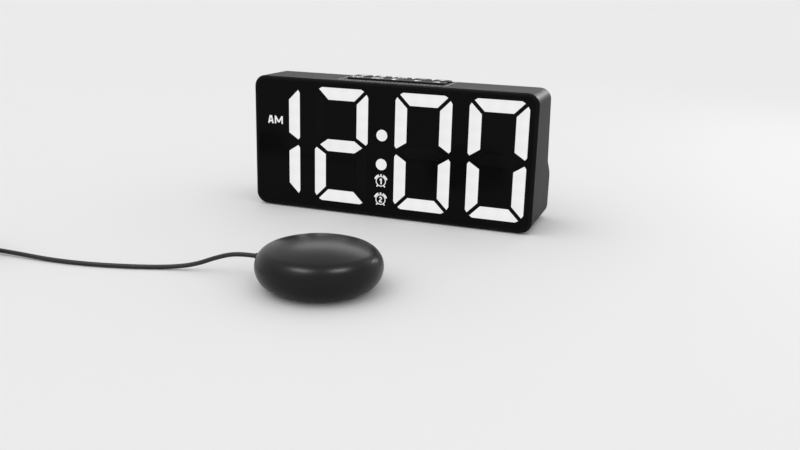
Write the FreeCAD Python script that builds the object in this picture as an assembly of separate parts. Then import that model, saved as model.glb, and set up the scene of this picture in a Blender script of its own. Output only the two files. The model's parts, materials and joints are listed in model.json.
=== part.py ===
"""Bed shaker alarm clock: a slim digital clock with very large figures, and the
round vibrating puck that goes under a pillow, on its lead.

Millimetres. +Z is up, the clock faces -Y and +X is on the viewer's right.
The origin is on the table, at the middle of the box round the clock and the puck.
Depths into the clock are counted from its front face, see deep().
"""
import FreeCAD, Part
import math
import os

V = FreeCAD.Vector
OUT = "parts"

# The clock's casing
CLOCK_W = 190.0
CLOCK_H = 87.2
FOOT_PROUD = 0.8
CORNER_R = 7.5
WALL = 2.2
TOP_DEPTH = 36.0
WAIST_DEPTH = 41.3
BULGE_DEPTH = 51.5
WAIST_Z = 39.5
SHOULDER_Z = 30.0
TOP_REAR_R = 3.5
WAIST_R = 6.0
SHOULDER_R = 7.0
HEEL_R = 4.5
FIT = 0.15
CUT = 5.0

# The front frame and its black lens
FRAME_LIP = 2.4
FRAME_EDGE_R = 1.3
FRAME_PLATE = 3.0
LENS_T = 0.8
LENS_BORDER = 2.4
SPIGOT_T = 1.5
SPIGOT_DEPTH = 7.0

# The figures
DIGIT_W_SHARE = 0.1958
DIGIT_H_SHARE = 0.8578
DIGIT_PITCH_SHARE = 0.2526
SECOND_DIGIT_SHARE = -0.1716
THIRD_DIGIT_SHARE = 0.1205
DIGIT_RISE = 0.8
STROKE = 7.9
SEGMENT_GAP = 2.4
NICK_RUN = 3.2
NICK_IN = 1.2
WAIST_TIP = 1.8
WAIST_OUT = 3.4
WAIST_IN = 6.1
MIDDLE_TIP_IN = 3.7
MIDDLE_FLAT_IN = 9.2
COLON_SHIFT = 0.45
COLON_R = 3.75
COLON_RISE_SHARE = 0.1257
ICON_R = 4.9
ICON_DROP_SHARE = 0.2727
ICON_PITCH_SHARE = 0.1618
AM_SHIFT = 1.0
AM_RISE_SHARE = 0.1845
AM_W = 12.4
AM_H = 7.4
INLAY_GAP = 0.1

# Light box, display board and lamps
LIGHT_BOX_DEPTH = 6.0
LIGHT_BOX_MARGIN = 1.2
CELL_GROWTH = 0.5
BOARD_T = 1.6
LAMP_SIZE = 3.0
LAMP_T = 1.6
LAMP_STEP = 9.5

# Screw posts behind the front frame, and the long screws from the rear
POST_R = 2.4
POST_FIT = 0.3
THREAD_GAP = 0.05
LOW_POST_UP = 7.2
HIGH_POST_DROP = 10.7
SIDE_POST_IN = 10.0
SIDE_POST_UP = 16.2
SIDE_POST_DROP = 14.2
TOWER_R = 3.8
TOWER_END_WALL = 2.5
CASE_SCREW_R = 1.1
CASE_SCREW_HEAD_R = 2.2
CASE_SCREW_HEAD_T = 1.6
SCREW_GRIP = 5.0
SMALL_SCREW_R = 0.8
SMALL_HEAD_R = 1.6
SMALL_HEAD_T = 1.1
SOCKET_DEPTH = 0.6

# Keys on top
KEY_ZONE_X = -1.2
KEY_COUNT = 5
KEY_W = 11.4
KEY_D = 7.6
KEY_PITCH = 13.6
KEY_ROW_DEPTH = 27.6
SNOOZE_D = 9.4
SNOOZE_DEPTH = 16.8
KEY_PROUD = 1.0
KEY_R = 1.6
KEY_EDGE_R = 0.5
KEY_GAP = 0.3
KEY_FLANGE = 0.6
KEY_FLANGE_T = 1.0
KEY_SEAT = 0.05
KEY_TRAVEL = 0.5
STEM_R = 1.6
SWITCH_SIZE = 6.0
SWITCH_T = 3.5
PLUNGER_R = 1.5
PLUNGER_T = 0.8
KEY_BOARD_DROP = 11.0
KEY_BOARD_FRONT = 12.0
KEY_BOARD_BACK = 32.5
SNOOZE_STEM_X = 20.0
PILLAR_R = 2.4
KEY_BOARD_SIDE = 7.6
PILLAR_EDGE = 0.4

# Battery bay in the upper rear wall
BAY_X = -4.0
BAY_DROP = 27.3
DOOR_W = 57.0
DOOR_H = 28.0
DOOR_T = 1.4
DOOR_GAP = 0.25
DOOR_LEDGE = 1.6
DOOR_R = 2.5
DOOR_NOTCH_R = 5.0
DOOR_NOTCH_T = 0.7
DOOR_TRAVEL = 14.0
CELL_R = 5.25
CELL_L = 44.5
CELL_NUB_R = 1.9
CELL_NUB_L = 0.8
TRAY_WALL = 1.2
CELL_FIT = 0.3
CONTACT_T = 0.4
TAB_W = 9.0
TAB_REACH = 2.2

# Main board and the sockets on the rear bulge
MAIN_Z = 14.0
MAIN_LEFT_SHARE = -0.19
MAIN_RIGHT_SHARE = 0.442
MAIN_FRONT = 19.0
MAIN_BACK = 48.6
DC_SHARE = 0.379
USB_SHARE = 0.284
SHAKER_SHARE = 0.189
MODE_SHARE = 0.084
WHEEL_SHARE = -0.042
SOCKET_GAP = 0.4
DC_BODY_W = 9.0
DC_BODY_H = 10.6
DC_BODY_D = 13.0
DC_COLLAR_R = 4.1
DC_BORE_R = 2.95
DC_BORE_L = 9.0
DC_PIN_R = 1.0
DC_PIN_BACK = 1.0
USB_W = 13.2
USB_H = 5.8
USB_D = 14.0
USB_SHEET = 0.35
USB_TONGUE_H = 1.9
USB_TONGUE_W = 11.6
USB_TONGUE_BACK = 1.2
USB_RISE = 2.0
JACK_BODY_W = 7.4
JACK_BODY_H = 7.0
JACK_BODY_D = 13.0
JACK_COLLAR_R = 3.0
JACK_BORE_R = 1.8
JACK_BORE_L = 15.0
MODE_BODY_W = 12.0
MODE_BODY_H = 6.4
MODE_BODY_D = 5.0
MODE_KNOB_W = 3.6
MODE_KNOB_H = 3.0
MODE_KNOB_PROUD = 1.3
MODE_TRAVEL = 2.5
MODE_SLOT_GAP = 0.3
WHEEL_R = 7.5
WHEEL_T = 3.0
WHEEL_PROUD = 1.5
WHEEL_TEETH = 24
WHEEL_TOOTH = 0.35
WHEEL_AXLE_R = 1.5
WHEEL_GAP = 0.4
RUNNING = 0.05
POT_W = 11.0
POT_T = 3.2
CHIP_T = 1.2
CAP_R = 3.0
CAP_H = 8.0
STANDOFF_R = 2.5

# Speaker behind its grille
SPEAKER_SHARE = -0.337
SPEAKER_Z = 19.6
SPEAKER_W = 38.0
SPEAKER_H = 12.0
SPEAKER_RIM = 1.4
SPEAKER_RIM_T = 1.5
SPEAKER_BASKET_D = 6.0
MAGNET_R = 5.5
MAGNET_D = 5.0
GRILLE_T = 2.0
GRILLE_LIP = 1.2
GRILLE_LIP_T = 0.8
GRILLE_SLOTS = 9
GRILLE_SLOT_W = 1.5
GRILLE_SLOT_PITCH = 3.5

# Rubber feet
FOOT_R = 5.0
FOOT_SUNK = 1.0
FOOT_IN = 15.0
FOOT_FRONT = 10.0
FOOT_BACK = 42.0

# The shaker puck
PUCK_X = 15.2
PUCK_AHEAD = 134.6
PUCK_R = 32.3
PUCK_H = 25.0
PUCK_WAIST_Z = 11.6
SHOULDER_ROLL_R = 9.6
PUCK_BASE_R = 24.5
PUCK_WALL = 2.0
PAD_T = 2.0
PAD_SUNK = 0.8
PAD_R = 17.5
PAD_HOLE_R = 7.0
LIP_T = 0.9
LIP_H = 1.4
LIP_GAP = 0.1
BOSS_R = 3.0
BOSS_RING_R = 21.3
BOSS_COUNT = 3
PUCK_SCREW_R = 0.9
PUCK_HEAD_R = 2.1
PUCK_HEAD_T = 1.4
MOTOR_R = 7.5
MOTOR_L = 24.0
MOTOR_BACK = 15.0
MOTOR_CLEAR = 0.6
MOTOR_NOSE_R = 3.0
MOTOR_NOSE_L = 1.2
SHAFT_R = 1.0
SHAFT_OUT = 11.5
SHAFT_IN = 18.0
WEIGHT_R = 7.2
WEIGHT_T = 8.0
WEIGHT_GAP = 1.0
WEIGHT_HUB_R = 2.6
SADDLE_T = 3.0
SADDLE_INSET = 3.5
STRAP_T = 1.2
STRAP_W = 7.0
STRAP_EAR = 5.5
STRAP_SCREW_R = 0.8
STRAP_HEAD_R = 1.7
STRAP_HEAD_T = 1.0

# The shaker's lead, its put-away coil and its plug
LEAD_D = 2.4
LEAD_R = LEAD_D / 2
RELIEF_R = 2.2
RELIEF_TIP_R = 1.55
RELIEF_OUT = 3.5
RELIEF_FLANGE_R = 3.4
RELIEF_FLANGE_T = 1.2
RELIEF_SEAT = 0.9
COIL_X = -187.0
COIL_Y = -121.0
COIL_BASE = 1.0
COIL_LAYERS = 4
COIL_LAYER_TURNS = 3.5
COIL_INNER_R = 9.2
COIL_PITCH = 2.95
TIE_T = 0.7
TIE_W = 4.0
TIE_GAP = 0.3
TIE_TAIL = 6.0
PLUG_GRIP_R = 3.7
PLUG_GRIP_L = 17.0
PLUG_RELIEF_L = 9.0
PLUG_RELIEF_R = 1.9
PIN_R = 1.75
PIN_L = 14.0
PIN_TIP_L = 3.2
PIN_NECK_R = 1.15
PIN_COLLAR_R = 2.6
PIN_COLLAR_L = 1.0

# Derived places
REAR_DEPTH = BULGE_DEPTH + WHEEL_PROUD
FRONT_Y = (PUCK_AHEAD + PUCK_R - REAR_DEPTH) / 2
PUCK_Y = FRONT_Y - PUCK_AHEAD
HALF_W = CLOCK_W / 2
BASE_Z = FOOT_PROUD
INNER_X = HALF_W - WALL
INNER_TOP = CLOCK_H - WALL
INNER_BASE = BASE_Z + WALL
DIGIT_W = CLOCK_W * DIGIT_W_SHARE
DIGIT_H = CLOCK_H * DIGIT_H_SHARE
DIGIT_Z = (BASE_Z + CLOCK_H) / 2 + DIGIT_RISE
DIGIT_PITCH = CLOCK_W * DIGIT_PITCH_SHARE
SECOND_DIGIT_X = CLOCK_W * SECOND_DIGIT_SHARE
THIRD_DIGIT_X = CLOCK_W * THIRD_DIGIT_SHARE
FIRST_DIGIT_X = SECOND_DIGIT_X - DIGIT_PITCH
FOURTH_DIGIT_X = THIRD_DIGIT_X + DIGIT_PITCH
COLON_X = (SECOND_DIGIT_X + THIRD_DIGIT_X) / 2 + COLON_SHIFT
COLON_RISE = DIGIT_H * COLON_RISE_SHARE
ICON_DROP = DIGIT_H * ICON_DROP_SHARE
ICON_PITCH = DIGIT_H * ICON_PITCH_SHARE
AM_X = FIRST_DIGIT_X + AM_SHIFT
AM_RISE = DIGIT_H * AM_RISE_SHARE
LEFT_GAP_X = (FIRST_DIGIT_X + SECOND_DIGIT_X) / 2
RIGHT_GAP_X = (THIRD_DIGIT_X + FOURTH_DIGIT_X) / 2
LOW_POST_Z = BASE_Z + LOW_POST_UP
HIGH_POST_Z = CLOCK_H - HIGH_POST_DROP
SIDE_POST_X = SIDE_POST_IN - HALF_W
SIDE_POST_LOW_Z = BASE_Z + SIDE_POST_UP
SIDE_POST_HIGH_Z = CLOCK_H - SIDE_POST_DROP
MAIN_X0 = CLOCK_W * MAIN_LEFT_SHARE
MAIN_X1 = CLOCK_W * MAIN_RIGHT_SHARE
DC_X = CLOCK_W * DC_SHARE
USB_X = CLOCK_W * USB_SHARE
SHAKER_X = CLOCK_W * SHAKER_SHARE
MODE_X = CLOCK_W * MODE_SHARE
WHEEL_X = CLOCK_W * WHEEL_SHARE
SPEAKER_X = CLOCK_W * SPEAKER_SHARE
FOOT_X = HALF_W - FOOT_IN
BAY_Z = CLOCK_H - BAY_DROP
LIGHT_BOX_BACK = FRAME_PLATE + LIGHT_BOX_DEPTH
STACK_BACK = LIGHT_BOX_BACK + BOARD_T
MITRE_GAP = SEGMENT_GAP / math.sqrt(2)
SOCKET_Z = MAIN_Z + BOARD_T + DC_BODY_H / 2
KEY_BOARD_TOP = INNER_TOP - KEY_BOARD_DROP
BACK_TILT = math.atan2(WAIST_DEPTH - TOP_DEPTH, CLOCK_H - WAIST_Z)
MOTOR_Z = PAD_T + PUCK_WALL + MOTOR_CLEAR + MOTOR_R


def deep(depth):
    """The Y of a place that lies this far behind the clock's front face."""
    return FRONT_Y + depth


def block(x0, x1, y0, y1, z0, z1):
    """A box between two corners."""
    return Part.makeBox(x1 - x0, y1 - y0, z1 - z0, V(x0, y0, z0))


def rod(radius, start, end):
    """A round bar from one point to another."""
    return Part.makeCylinder(radius, (end - start).Length, start, end - start)


def ring_bar(outer, inner, start, end):
    """A tube from one point to another."""
    return rod(outer, start, end).cut(rod(inner, start, end))


def soft_corners(points, radii):
    """A closed wire through the points, each corner rounded by its own radius."""
    edges = []
    count = len(points)
    starts = []
    ends = []
    mids = []
    for i, here in enumerate(points):
        before = (points[i - 1] - here).normalize()
        after = (points[(i + 1) % count] - here).normalize()
        half = before.getAngle(after) / 2
        reach = radii[i] / math.tan(half)
        middle = (before + after).normalize()
        starts.append(here + before * reach)
        ends.append(here + after * reach)
        mids.append(here + middle * (radii[i] / math.sin(half) - radii[i]))
    for i in range(count):
        if radii[i] > 0:
            edges.append(Part.Arc(starts[i], mids[i], ends[i]).toShape())
        following = starts[(i + 1) % count]
        if (following - ends[i]).Length > 1e-6:
            edges.append(Part.makeLine(ends[i], following))
    return Part.Wire(edges)


def solid_of(wire, push):
    """The solid that a flat closed wire sweeps along a vector."""
    return Part.Face(wire).extrude(push)


def upright_slab(x0, x1, z0, z1, radius, y0, y1):
    """A rounded rectangle seen from the front, from depth y0 to y1."""
    corners = [V(x0, y0, z0), V(x1, y0, z0), V(x1, y0, z1), V(x0, y0, z1)]
    return solid_of(soft_corners(corners, [radius] * 4), V(0, y1 - y0, 0))


def flat_slab(x0, x1, y0, y1, radius, z0, z1):
    """A rounded rectangle seen from above, from height z0 to z1."""
    corners = [V(x0, y0, z0), V(x1, y0, z0), V(x1, y1, z0), V(x0, y1, z0)]
    return solid_of(soft_corners(corners, [radius] * 4), V(0, 0, z1 - z0))


def turned(profile, centre, axis_from_z=None):
    """Revolves (radius, height) points about Z, then places the solid."""
    points = [V(r, 0, z) for r, z in profile]
    wire = Part.makePolygon(points + [points[0]])
    solid = Part.Face(wire).revolve(V(0, 0, 0), V(0, 0, 1), 360)
    if axis_from_z is not None:
        solid.Placement = FreeCAD.Placement(V(0, 0, 0), FreeCAD.Rotation(V(0, 0, 1), axis_from_z))
    solid.translate(centre)
    return solid


def round_edges(solid, radius, wanted):
    """Rounds the edges that the test picks."""
    edges = [e for e in solid.Edges if wanted(e)]
    return solid.makeFillet(radius, edges)


def together(solids):
    """Separate solids kept as one node."""
    return Part.makeCompound(solids)


def fused(solids):
    """Joins solids into one and drops the seams between them."""
    whole = solids[0]
    for piece in solids[1:]:
        whole = whole.fuse(piece)
    return whole.removeSplitter()


def keep(name, shape):
    """Writes one node."""
    assert shape.isValid(), name
    shape.exportStep(os.path.join(OUT, name + ".step"))


def screw(head_at, point_at, shank_r, head_r, head_t):
    """A pan-headed screw whose head stands outside head_at, with a hex socket."""
    along = (point_at - head_at).normalize()
    shank = rod(shank_r, head_at, point_at)
    head = rod(head_r, head_at - along * head_t, head_at)
    solid = fused([shank, head])
    side = V(1, 0, 0) if abs(along.x) < 0.5 else V(0, 1, 0)
    up = along.cross(side)
    corners = []
    for k in range(6):
        turn = math.radians(60 * k)
        spoke = side * math.cos(turn) + up * math.sin(turn)
        corners.append(head_at - along * head_t + spoke * head_r / 2)
    socket = solid_of(Part.makePolygon(corners + [corners[0]]), along * SOCKET_DEPTH)
    return solid.cut(socket)


# Segment outlines, about the figure's own centre, as (x, z)
def segment_outline(letter):
    """Six corners of one stroke: blunt mitred tips, as on a moulded light guide."""
    hw = DIGIT_W / 2
    hh = DIGIT_H / 2
    flat = hw - MITRE_GAP - NICK_RUN
    tip = hw - MITRE_GAP - NICK_IN
    inner = hw - MITRE_GAP - STROKE
    if letter in "ad":
        shape = [(-flat, hh), (flat, hh), (tip, hh - NICK_IN), (inner, hh - STROKE),
                 (-inner, hh - STROKE), (-tip, hh - NICK_IN)]
    elif letter == "g":
        side = hw - MIDDLE_TIP_IN
        flat = hw - MIDDLE_FLAT_IN
        shape = [(side, 0), (flat, STROKE / 2), (-flat, STROKE / 2), (-side, 0),
                 (-flat, -STROKE / 2), (flat, -STROKE / 2)]
    else:
        shape = [(hw, hh - MITRE_GAP - NICK_RUN), (hw, WAIST_OUT), (hw - NICK_IN, WAIST_TIP),
                 (hw - STROKE, WAIST_IN), (hw - STROKE, hh - MITRE_GAP - STROKE),
                 (hw - NICK_IN, hh - MITRE_GAP - NICK_IN)]
    if letter in "fe":
        shape = [(-x, z) for x, z in shape]
    if letter in "dce":
        shape = [(x, -z) for x, z in shape]
    return shape


def segment_solid(letter, centre_x, growth, y0, y1):
    """One stroke as a prism between two depths, grown or shrunk all round."""
    points = [V(centre_x + x, y0, DIGIT_Z + z) for x, z in segment_outline(letter)]
    wire = Part.makePolygon(points + [points[0]])
    if growth:
        wire = wire.makeOffset2D(growth, 2)
    return solid_of(wire, V(0, y1 - y0, 0))


LIT = [("1", FIRST_DIGIT_X, "bc"), ("2", SECOND_DIGIT_X, "abged"),
       ("3", THIRD_DIGIT_X, "abcdef"), ("4", FOURTH_DIGIT_X, "abcdef")]
UNLIT = [(SECOND_DIGIT_X, "fc"), (THIRD_DIGIT_X, "g"), (FOURTH_DIGIT_X, "g")]


def every_segment():
    """(letter, x) of each stroke on the display."""
    strokes = []
    for _, x, letters in LIT:
        strokes += [(letter, x) for letter in letters]
    for x, letters in UNLIT:
        strokes += [(letter, x) for letter in letters]
    return strokes


def signs(growth, y0, y1):
    """Colon dots, the am window and the two alarm icon windows, grown all round."""
    dots = []
    for way in (1, -1):
        at = V(COLON_X, y0, DIGIT_Z + way * COLON_RISE)
        dots.append(rod(COLON_R + growth, at, V(at.x, y1, at.z)))
    icons = []
    for row in (0, 1):
        at = V(COLON_X, y0, DIGIT_Z - ICON_DROP - row * ICON_PITCH)
        icons.append(rod(ICON_R + growth, at, V(at.x, y1, at.z)))
    am_z = DIGIT_Z + AM_RISE
    reach_w = AM_W / 2 + growth
    reach_h = AM_H / 2 + growth
    am = block(AM_X - reach_w, AM_X + reach_w, y0, y1, am_z - reach_h, am_z + reach_h)
    return dots, icons, am


def display_windows(growth, y0, y1):
    """All the holes that light passes through."""
    holes = [segment_solid(letter, x, growth, y0, y1) for letter, x in every_segment()]
    dots, icons, am = signs(growth, y0, y1)
    return holes + dots + icons + [am]


def case_posts():
    """(x, z) of the posts that the long rear screws pull on."""
    return [(x, z) for x in (LEFT_GAP_X, RIGHT_GAP_X) for z in (LOW_POST_Z, HIGH_POST_Z)]


def board_posts():
    """(x, z) of the posts that only hold the display board."""
    return [(SIDE_POST_X, SIDE_POST_LOW_Z), (SIDE_POST_X, SIDE_POST_HIGH_Z), (COLON_X, HIGH_POST_Z)]


def front_frame():
    """Black front moulding: rounded rim, floor with the light windows, and posts."""
    rim = upright_slab(-HALF_W, HALF_W, BASE_Z, CLOCK_H, CORNER_R, deep(0), deep(FRAME_LIP))
    rim = round_edges(rim, FRAME_EDGE_R, lambda e: e.BoundBox.YMax < deep(0) + FIT)
    inset = WALL + FIT
    spigot_r = CORNER_R - inset
    spigot = upright_slab(-HALF_W + inset, HALF_W - inset, BASE_Z + inset, CLOCK_H - inset,
                          spigot_r, deep(FRAME_LIP), deep(SPIGOT_DEPTH))
    core = inset + SPIGOT_T
    hollow = upright_slab(-HALF_W + core, HALF_W - core, BASE_Z + core, CLOCK_H - core,
                          CORNER_R - core, deep(FRAME_PLATE), deep(SPIGOT_DEPTH + CUT))
    edge = LENS_BORDER
    pocket = upright_slab(-HALF_W + edge, HALF_W - edge, BASE_Z + edge, CLOCK_H - edge,
                          CORNER_R - edge, deep(-CUT), deep(LENS_T))
    body = rim.fuse(spigot).cut(hollow).cut(pocket)
    posts = []
    for x, z in case_posts() + board_posts():
        posts.append(rod(POST_R, V(x, deep(FRAME_PLATE), z), V(x, deep(LIGHT_BOX_BACK), z)))
    body = fused([body] + posts)
    holes = display_windows(0, deep(0), deep(FRAME_PLATE + CUT))
    for radius, places in ((CASE_SCREW_R, case_posts()), (SMALL_SCREW_R, board_posts())):
        for x, z in places:
            start = V(x, deep(FRAME_PLATE), z)
            holes.append(rod(radius + THREAD_GAP, start, V(x, deep(LIGHT_BOX_BACK + CUT), z)))
    return body.cut(holes)


def display_lens():
    """Thin black face, let into the frame, with clear windows over the strokes."""
    edge = LENS_BORDER + INLAY_GAP
    sheet = upright_slab(-HALF_W + edge, HALF_W - edge, BASE_Z + edge, CLOCK_H - edge,
                         CORNER_R - edge, deep(0), deep(LENS_T))
    holes = [segment_solid(letter, x, 0, deep(-CUT), deep(CUT)) for letter, x in every_segment()]
    dots, _, _ = signs(0, deep(-CUT), deep(CUT))
    return sheet.cut(holes + dots)


def light_guides(letters, x):
    """The white strokes of one figure, flush with the lens."""
    return together([segment_solid(k, x, -INLAY_GAP, deep(0), deep(FRAME_PLATE)) for k in letters])


def light_box():
    """White reflector: one cell behind each stroke, so that light stays in its stroke."""
    core = WALL + FIT + SPIGOT_T + LIGHT_BOX_MARGIN
    slab = upright_slab(-HALF_W + core, HALF_W - core, BASE_Z + core, CLOCK_H - core,
                        CORNER_R - WALL - FIT - SPIGOT_T, deep(FRAME_PLATE), deep(LIGHT_BOX_BACK))
    holes = display_windows(-CELL_GROWTH, deep(FRAME_PLATE - CUT), deep(LIGHT_BOX_BACK + CUT))
    for x, z in case_posts() + board_posts():
        start = V(x, deep(FRAME_PLATE - CUT), z)
        holes.append(rod(POST_R + POST_FIT, start, V(x, deep(LIGHT_BOX_BACK + CUT), z)))
    return slab.cut(holes)


def display_board():
    """Circuit board that closes the light box from behind."""
    core = WALL + FIT + SPIGOT_T + LIGHT_BOX_MARGIN
    slab = upright_slab(-HALF_W + core, HALF_W - core, BASE_Z + core, CLOCK_H - core,
                        CORNER_R - WALL - FIT - SPIGOT_T, deep(LIGHT_BOX_BACK), deep(STACK_BACK))
    holes = []
    for x, z in case_posts():
        holes.append(rod(CASE_SCREW_R + POST_FIT, V(x, deep(0), z), V(x, deep(STACK_BACK + CUT), z)))
    for x, z in board_posts():
        holes.append(rod(SMALL_SCREW_R + POST_FIT, V(x, deep(0), z), V(x, deep(STACK_BACK + CUT), z)))
    return slab.cut(holes)


def lamp(x, z):
    """One surface-mounted lamp on the display board."""
    half = LAMP_SIZE / 2
    return block(x - half, x + half, deep(LIGHT_BOX_BACK - LAMP_T), deep(LIGHT_BOX_BACK), z - half,
                 z + half)


def display_lamps():
    """Two or three lamps along each stroke, and one behind each sign."""
    lamps = []
    for letter, x in every_segment():
        outline = segment_outline(letter)
        centre_x = x + sum(p[0] for p in outline) / len(outline)
        centre_z = DIGIT_Z + sum(p[1] for p in outline) / len(outline)
        lying = letter in "agd"
        for way in (-1, 1):
            shift = way * LAMP_STEP / 2
            lamps.append(lamp(centre_x + shift * lying, centre_z + shift * (not lying)))
    for way in (1, -1):
        lamps.append(lamp(COLON_X, DIGIT_Z + way * COLON_RISE))
    for row in (0, 1):
        lamps.append(lamp(COLON_X, DIGIT_Z - ICON_DROP - row * ICON_PITCH))
    lamps.append(lamp(AM_X, DIGIT_Z + AM_RISE))
    return together(lamps)


def display_screws():
    """Short screws through the display board into the frame's posts."""
    screws = []
    for x, z in board_posts():
        head = V(x, deep(STACK_BACK), z)
        tip = V(x, deep(STACK_BACK - SCREW_GRIP), z)
        screws.append(screw(head, tip, SMALL_SCREW_R, SMALL_HEAD_R, SMALL_HEAD_T))
    return together(screws)


# The casing's side view, as (depth, height) with a radius at each corner
def side_view(inset):
    """Closed wire of the casing seen from the side, drawn in by a wall."""
    front = FRAME_LIP
    points = [(front, BASE_Z), (BULGE_DEPTH, BASE_Z), (BULGE_DEPTH, SHOULDER_Z),
              (WAIST_DEPTH, WAIST_Z), (TOP_DEPTH, CLOCK_H), (front, CLOCK_H)]
    radii = [0, HEEL_R, SHOULDER_R, WAIST_R, TOP_REAR_R, 0]
    wire = soft_corners([V(-HALF_W - CUT, deep(d), z) for d, z in points], radii)
    if inset:
        wire = wire.makeOffset2D(-inset)
    return wire


def casing_solid(inset, front):
    """The casing's outer form, or the hollow inside it when drawn in by the wall."""
    along = solid_of(side_view(inset), V(CLOCK_W + CUT * 2, 0, 0))
    across = upright_slab(-HALF_W + inset, HALF_W - inset, BASE_Z + inset, CLOCK_H - inset,
                          CORNER_R - inset, deep(front), deep(REAR_DEPTH))
    return along.common(across)


def back_depth(z):
    """Depth of the upper rear wall's outer face at a height."""
    return WAIST_DEPTH - (z - WAIST_Z) * math.tan(BACK_TILT)


def to_back_wall(solid):
    """Moves a solid drawn flat, x across, y outwards, z up from the bay's middle, to the wall."""
    turn = FreeCAD.Rotation(V(1, 0, 0), math.degrees(BACK_TILT))
    solid = solid.copy()
    solid.Placement = FreeCAD.Placement(V(BAY_X, deep(back_depth(BAY_Z)), BAY_Z), turn)
    return solid


def key_places():
    """Centre (x, depth) of each small key."""
    middle = (KEY_COUNT - 1) / 2
    return [(KEY_ZONE_X + (i - middle) * KEY_PITCH, KEY_ROW_DEPTH) for i in range(KEY_COUNT)]


def snooze_half():
    """Half the snooze bar's length: it spans the row of keys."""
    return (KEY_COUNT - 1) / 2 * KEY_PITCH + KEY_W / 2


def cap_openings():
    """The holes that the keys come up through."""
    holes = []
    for x, d in key_places():
        half_w = KEY_W / 2 + KEY_GAP
        half_d = KEY_D / 2 + KEY_GAP
        holes.append(flat_slab(x - half_w, x + half_w, deep(d - half_d), deep(d + half_d),
                               KEY_R, INNER_TOP - CUT, CLOCK_H + CUT))
    half_w = snooze_half() + KEY_GAP
    half_d = SNOOZE_D / 2 + KEY_GAP
    holes.append(flat_slab(KEY_ZONE_X - half_w, KEY_ZONE_X + half_w, deep(SNOOZE_DEPTH - half_d),
                           deep(SNOOZE_DEPTH + half_d), KEY_R, INNER_TOP - CUT, CLOCK_H + CUT))
    return holes


def socket_openings():
    """The holes in the bulge's rear wall, one for each socket and switch."""
    near = deep(BULGE_DEPTH - WALL - CUT)
    far = deep(BULGE_DEPTH + CUT)
    dc = rod(DC_COLLAR_R + SOCKET_GAP, V(DC_X, near, SOCKET_Z), V(DC_X, far, SOCKET_Z))
    jack = rod(JACK_COLLAR_R + SOCKET_GAP, V(SHAKER_X, near, SOCKET_Z), V(SHAKER_X, far, SOCKET_Z))
    half_w = USB_W / 2 + SOCKET_GAP
    half_h = USB_H / 2 + SOCKET_GAP
    usb = block(USB_X - half_w, USB_X + half_w, near, far, SOCKET_Z - half_h, SOCKET_Z + half_h)
    half_w = MODE_KNOB_W / 2 + MODE_TRAVEL + MODE_SLOT_GAP
    half_h = MODE_KNOB_H / 2 + MODE_SLOT_GAP
    mode = block(MODE_X - half_w, MODE_X + half_w, near, far, SOCKET_Z - half_h, SOCKET_Z + half_h)
    half_w = WHEEL_R + WHEEL_GAP
    half_h = WHEEL_T / 2 + WHEEL_GAP
    wheel = block(WHEEL_X - half_w, WHEEL_X + half_w, near, far, SOCKET_Z - half_h, SOCKET_Z + half_h)
    return [dc, jack, usb, mode, wheel]


def racetrack(margin, y0, y1):
    """The speaker's long rounded outline, grown by a margin."""
    half_w = SPEAKER_W / 2 + margin
    half_h = SPEAKER_H / 2 + margin
    return upright_slab(SPEAKER_X - half_w, SPEAKER_X + half_w, SPEAKER_Z - half_h, SPEAKER_Z + half_h,
                        half_h - INLAY_GAP, y0, y1)


def housing():
    """Dark grey casing: sides, top, base and back in one moulding, with its towers."""
    outer = casing_solid(0, FRAME_LIP)
    inner = casing_solid(WALL, FRAME_LIP - CUT)
    front_bore = upright_slab(-INNER_X, INNER_X, INNER_BASE, INNER_TOP, CORNER_R - WALL,
                              deep(FRAME_LIP - CUT), deep(SPIGOT_DEPTH))
    shell = outer.cut(inner).cut(front_bore)
    towers = []
    bores = []
    for x, z in case_posts():
        start = V(x, deep(STACK_BACK), z)
        seat = V(x, deep(STACK_BACK + TOWER_END_WALL), z)
        beyond = V(x, deep(REAR_DEPTH + CUT), z)
        towers.append(rod(TOWER_R, start, beyond))
        bores.append(rod(CASE_SCREW_R + POST_FIT, start, beyond))
        bores.append(rod(CASE_SCREW_HEAD_R + POST_FIT, seat, beyond))
    thread = SMALL_SCREW_R + THREAD_GAP
    for x, d in standoffs():
        towers.append(rod(STANDOFF_R, V(x, deep(d), BASE_Z), V(x, deep(d), MAIN_Z)))
        bores.append(rod(thread, V(x, deep(d), MAIN_Z - SCREW_GRIP), V(x, deep(d), MAIN_Z)))
    for x, d in pillars():
        towers.append(rod(PILLAR_R, V(x, deep(d), KEY_BOARD_TOP), V(x, deep(d), CLOCK_H)))
        bores.append(rod(thread, V(x, deep(d), KEY_BOARD_TOP), V(x, deep(d), KEY_BOARD_TOP + SCREW_GRIP)))
    shell = fused([shell] + [t.common(outer) for t in towers])
    half_w = DOOR_W / 2 + DOOR_GAP
    half_h = DOOR_H / 2 + DOOR_GAP
    rebate = to_back_wall(upright_slab(-half_w, half_w, -half_h, half_h, DOOR_R, -DOOR_T, CUT))
    ledge_w = half_w - DOOR_LEDGE
    ledge_h = half_h - DOOR_LEDGE
    bay = to_back_wall(upright_slab(-ledge_w, ledge_w, -ledge_h, ledge_h, DOOR_R, -WALL - CUT, CUT))
    feet = [rod(FOOT_R + INLAY_GAP, V(x, deep(d), BASE_Z - CUT), V(x, deep(d), BASE_Z + FOOT_SUNK))
            for x, d in foot_places()]
    grille = racetrack(GRILLE_LIP, deep(BULGE_DEPTH - GRILLE_LIP_T), deep(BULGE_DEPTH + CUT))
    sound = racetrack(0, deep(BULGE_DEPTH - WALL - CUT), deep(BULGE_DEPTH + CUT))
    cuts = bores + cap_openings() + socket_openings() + feet + [rebate, bay, grille, sound]
    return shell.cut(cuts)


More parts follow.
